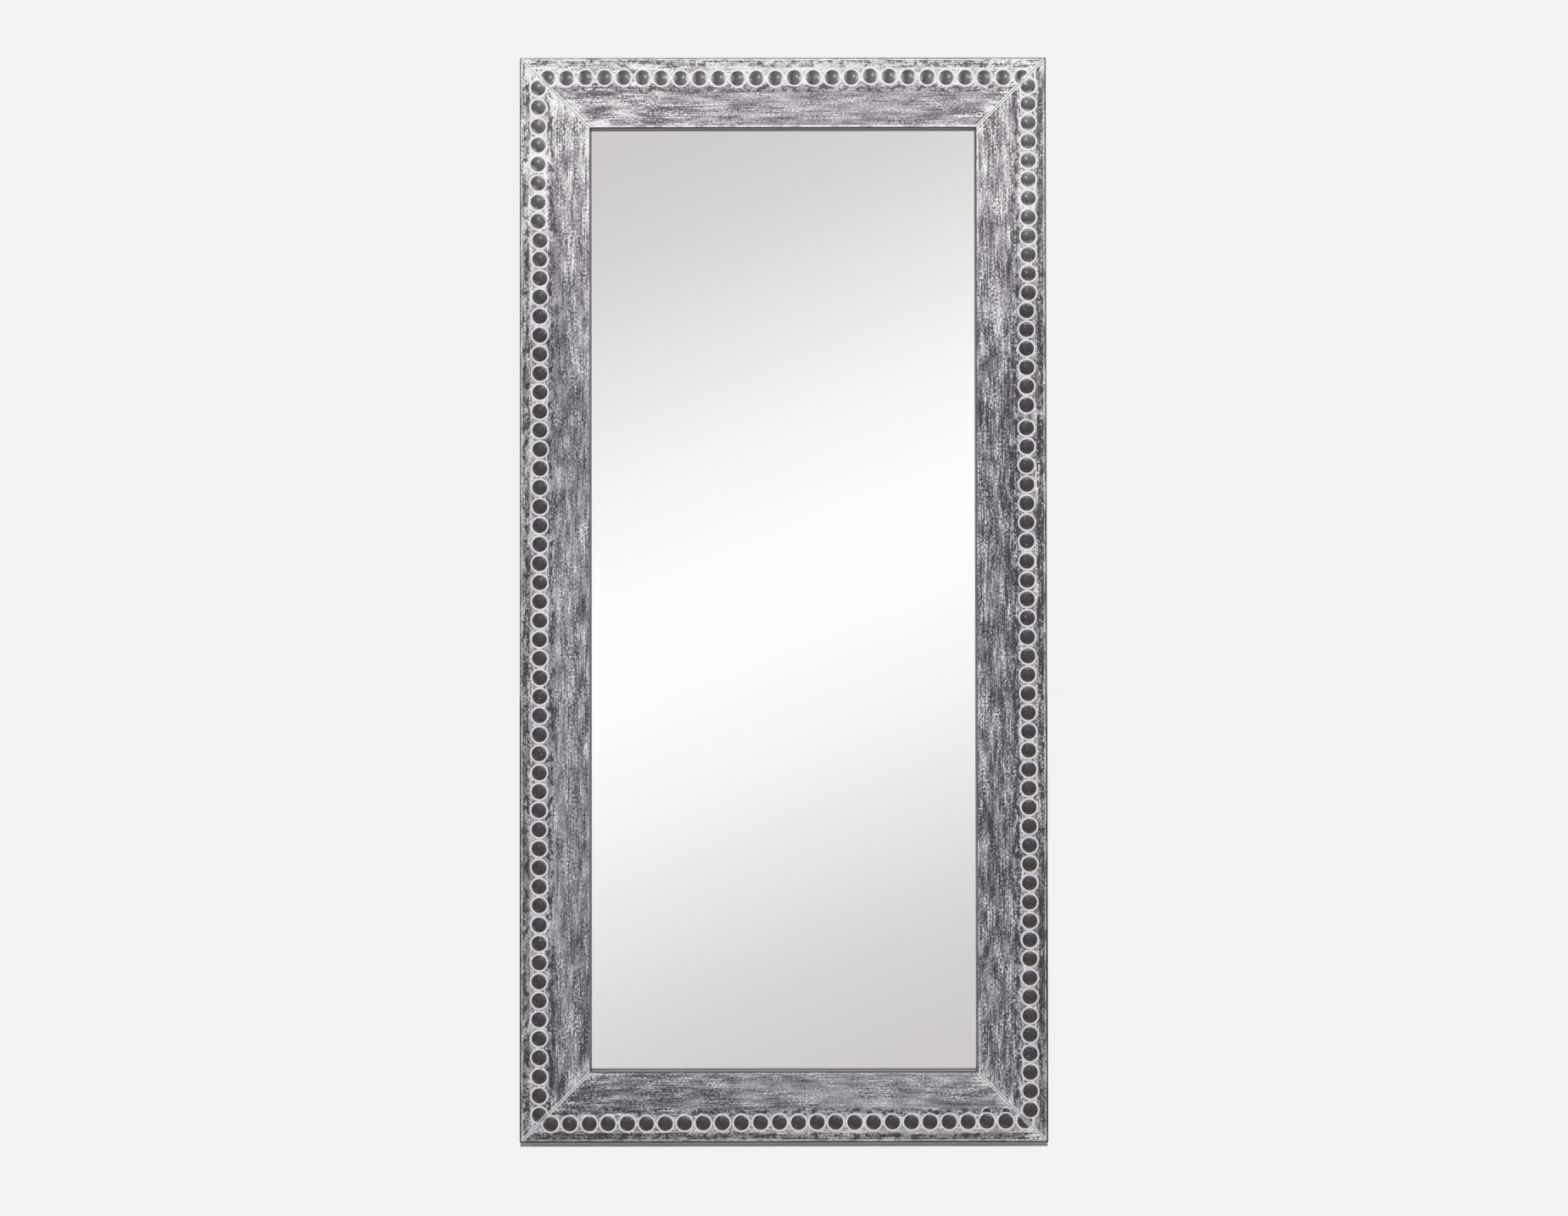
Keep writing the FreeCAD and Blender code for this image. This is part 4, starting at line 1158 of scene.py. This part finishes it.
def add_floor():
    """A pale floor that shows only the shadow on it."""
    low = cad_box[0][2] - FLOOR_DROP
    mesh = bpy.data.meshes.new("floor")
    corners = [(-1, -1), (1, -1), (1, 1), (-1, 1)]
    mesh.from_pydata([(x * FLOOR_REACH, y * FLOOR_REACH, low) for x, y in corners], [], [(0, 1, 2, 3)])
    floor = bpy.data.objects.new("floor", mesh)
    bpy.context.scene.collection.objects.link(floor)
    material, _, shader = new_material("floor")
    shader.inputs["Base Color"].default_value = grey(BACKDROP)
    shader.inputs["Roughness"].default_value = FLOOR_ROUGHNESS
    mesh.materials.append(material)
    floor.is_shadow_catcher = True
    floor.visible_glossy = False
    return floor


def add_world():
    """A pale room: plain behind the frame, a bright band in the mirror, and a little light all round."""
    world = bpy.data.worlds.new("studio")
    bpy.context.scene.world = world
    world.use_nodes = True
    tree = world.node_tree
    tree.nodes.clear()
    direction = tree.nodes.new("ShaderNodeTexCoord").outputs["Generated"]
    x, _, z = parts(tree, direction)
    raised = calc(tree, "ADD", z, BRIGHT_BAND_DROP)
    tilted = calc(tree, "SUBTRACT", raised, calc(tree, "MULTIPLY", x, BRIGHT_BAND_SLOPE))
    away = step(tree, calc(tree, "ABSOLUTE", tilted), *BRIGHT_BAND_REACH)
    shade = blend(tree, away, BRIGHT_TINT, DIM_TINT)
    shade = blend(tree, step(tree, z, *FAR_BELOW), shade, grey(BACKDROP))
    shade = blend(tree, step(tree, z, *FAR_ABOVE), shade, grey(FAR_ABOVE_TONE))
    path = tree.nodes.new("ShaderNodeLightPath")

    def background(colour, strength):
        node = tree.nodes.new("ShaderNodeBackground")
        plug(tree, node.inputs["Color"], colour)
        node.inputs["Strength"].default_value = strength
        return node.outputs[0]

    def choose(share, first, second):
        node = tree.nodes.new("ShaderNodeMixShader")
        plug(tree, node.inputs[0], share)
        plug(tree, node.inputs[1], first)
        plug(tree, node.inputs[2], second)
        return node.outputs[0]

    lit = background(AMBIENT_TINT, AMBIENT_STRENGTH)
    glossy = choose(path.outputs["Is Glossy Ray"], lit, background(shade, FULL_STRENGTH))
    seen = calc(tree, "MAXIMUM", path.outputs["Is Camera Ray"], path.outputs["Is Transmission Ray"])
    pale = background(grey(BACKDROP), FULL_STRENGTH)
    output = tree.nodes.new("ShaderNodeOutputWorld")
    tree.links.new(choose(seen, glossy, pale), output.inputs["Surface"])


def add_lamp(name, place, size, power, colour):
    """A rectangular lamp that isn't seen itself."""
    data = bpy.data.lights.new(name, "AREA")
    data.shape = "RECTANGLE"
    data.size, data.size_y = size
    data.energy = power
    data.color = colour
    lamp = bpy.data.objects.new(name, data)
    lamp.location = place
    lamp.rotation_euler = (Vector(FRAME_MIDDLE) - Vector(place)).to_track_quat("-Z", "Y").to_euler()
    lamp.visible_glossy = False
    lamp.visible_camera = False
    bpy.context.scene.collection.objects.link(lamp)
    return lamp


def leave_out(lamp, piece):
    """Keep a lamp's light off one piece of the stage."""
    unlit = bpy.data.collections.new(f"not_lit_by_{lamp.name}")
    unlit.objects.link(piece)
    unlit.collection_objects[0].light_linking.link_state = "EXCLUDE"
    lamp.light_linking.receiver_collection = unlit


def add_lamps(floor):
    """Light the frame from the front, the back and both sides."""
    for name, values in LAMPS.items():
        lamp = add_lamp(name, **values)
        if name != FLOOR_LAMP:
            leave_out(lamp, floor)


iron_finish = whitewashed_iron()
for rail_name in RAILS:
    build_sheet(rail_name).data.materials.append(iron_finish)
dress_nodes(iron_finish)
add_camera()
add_world()
add_lamps(add_floor())
bpy.context.scene.view_settings.view_transform = "Standard"
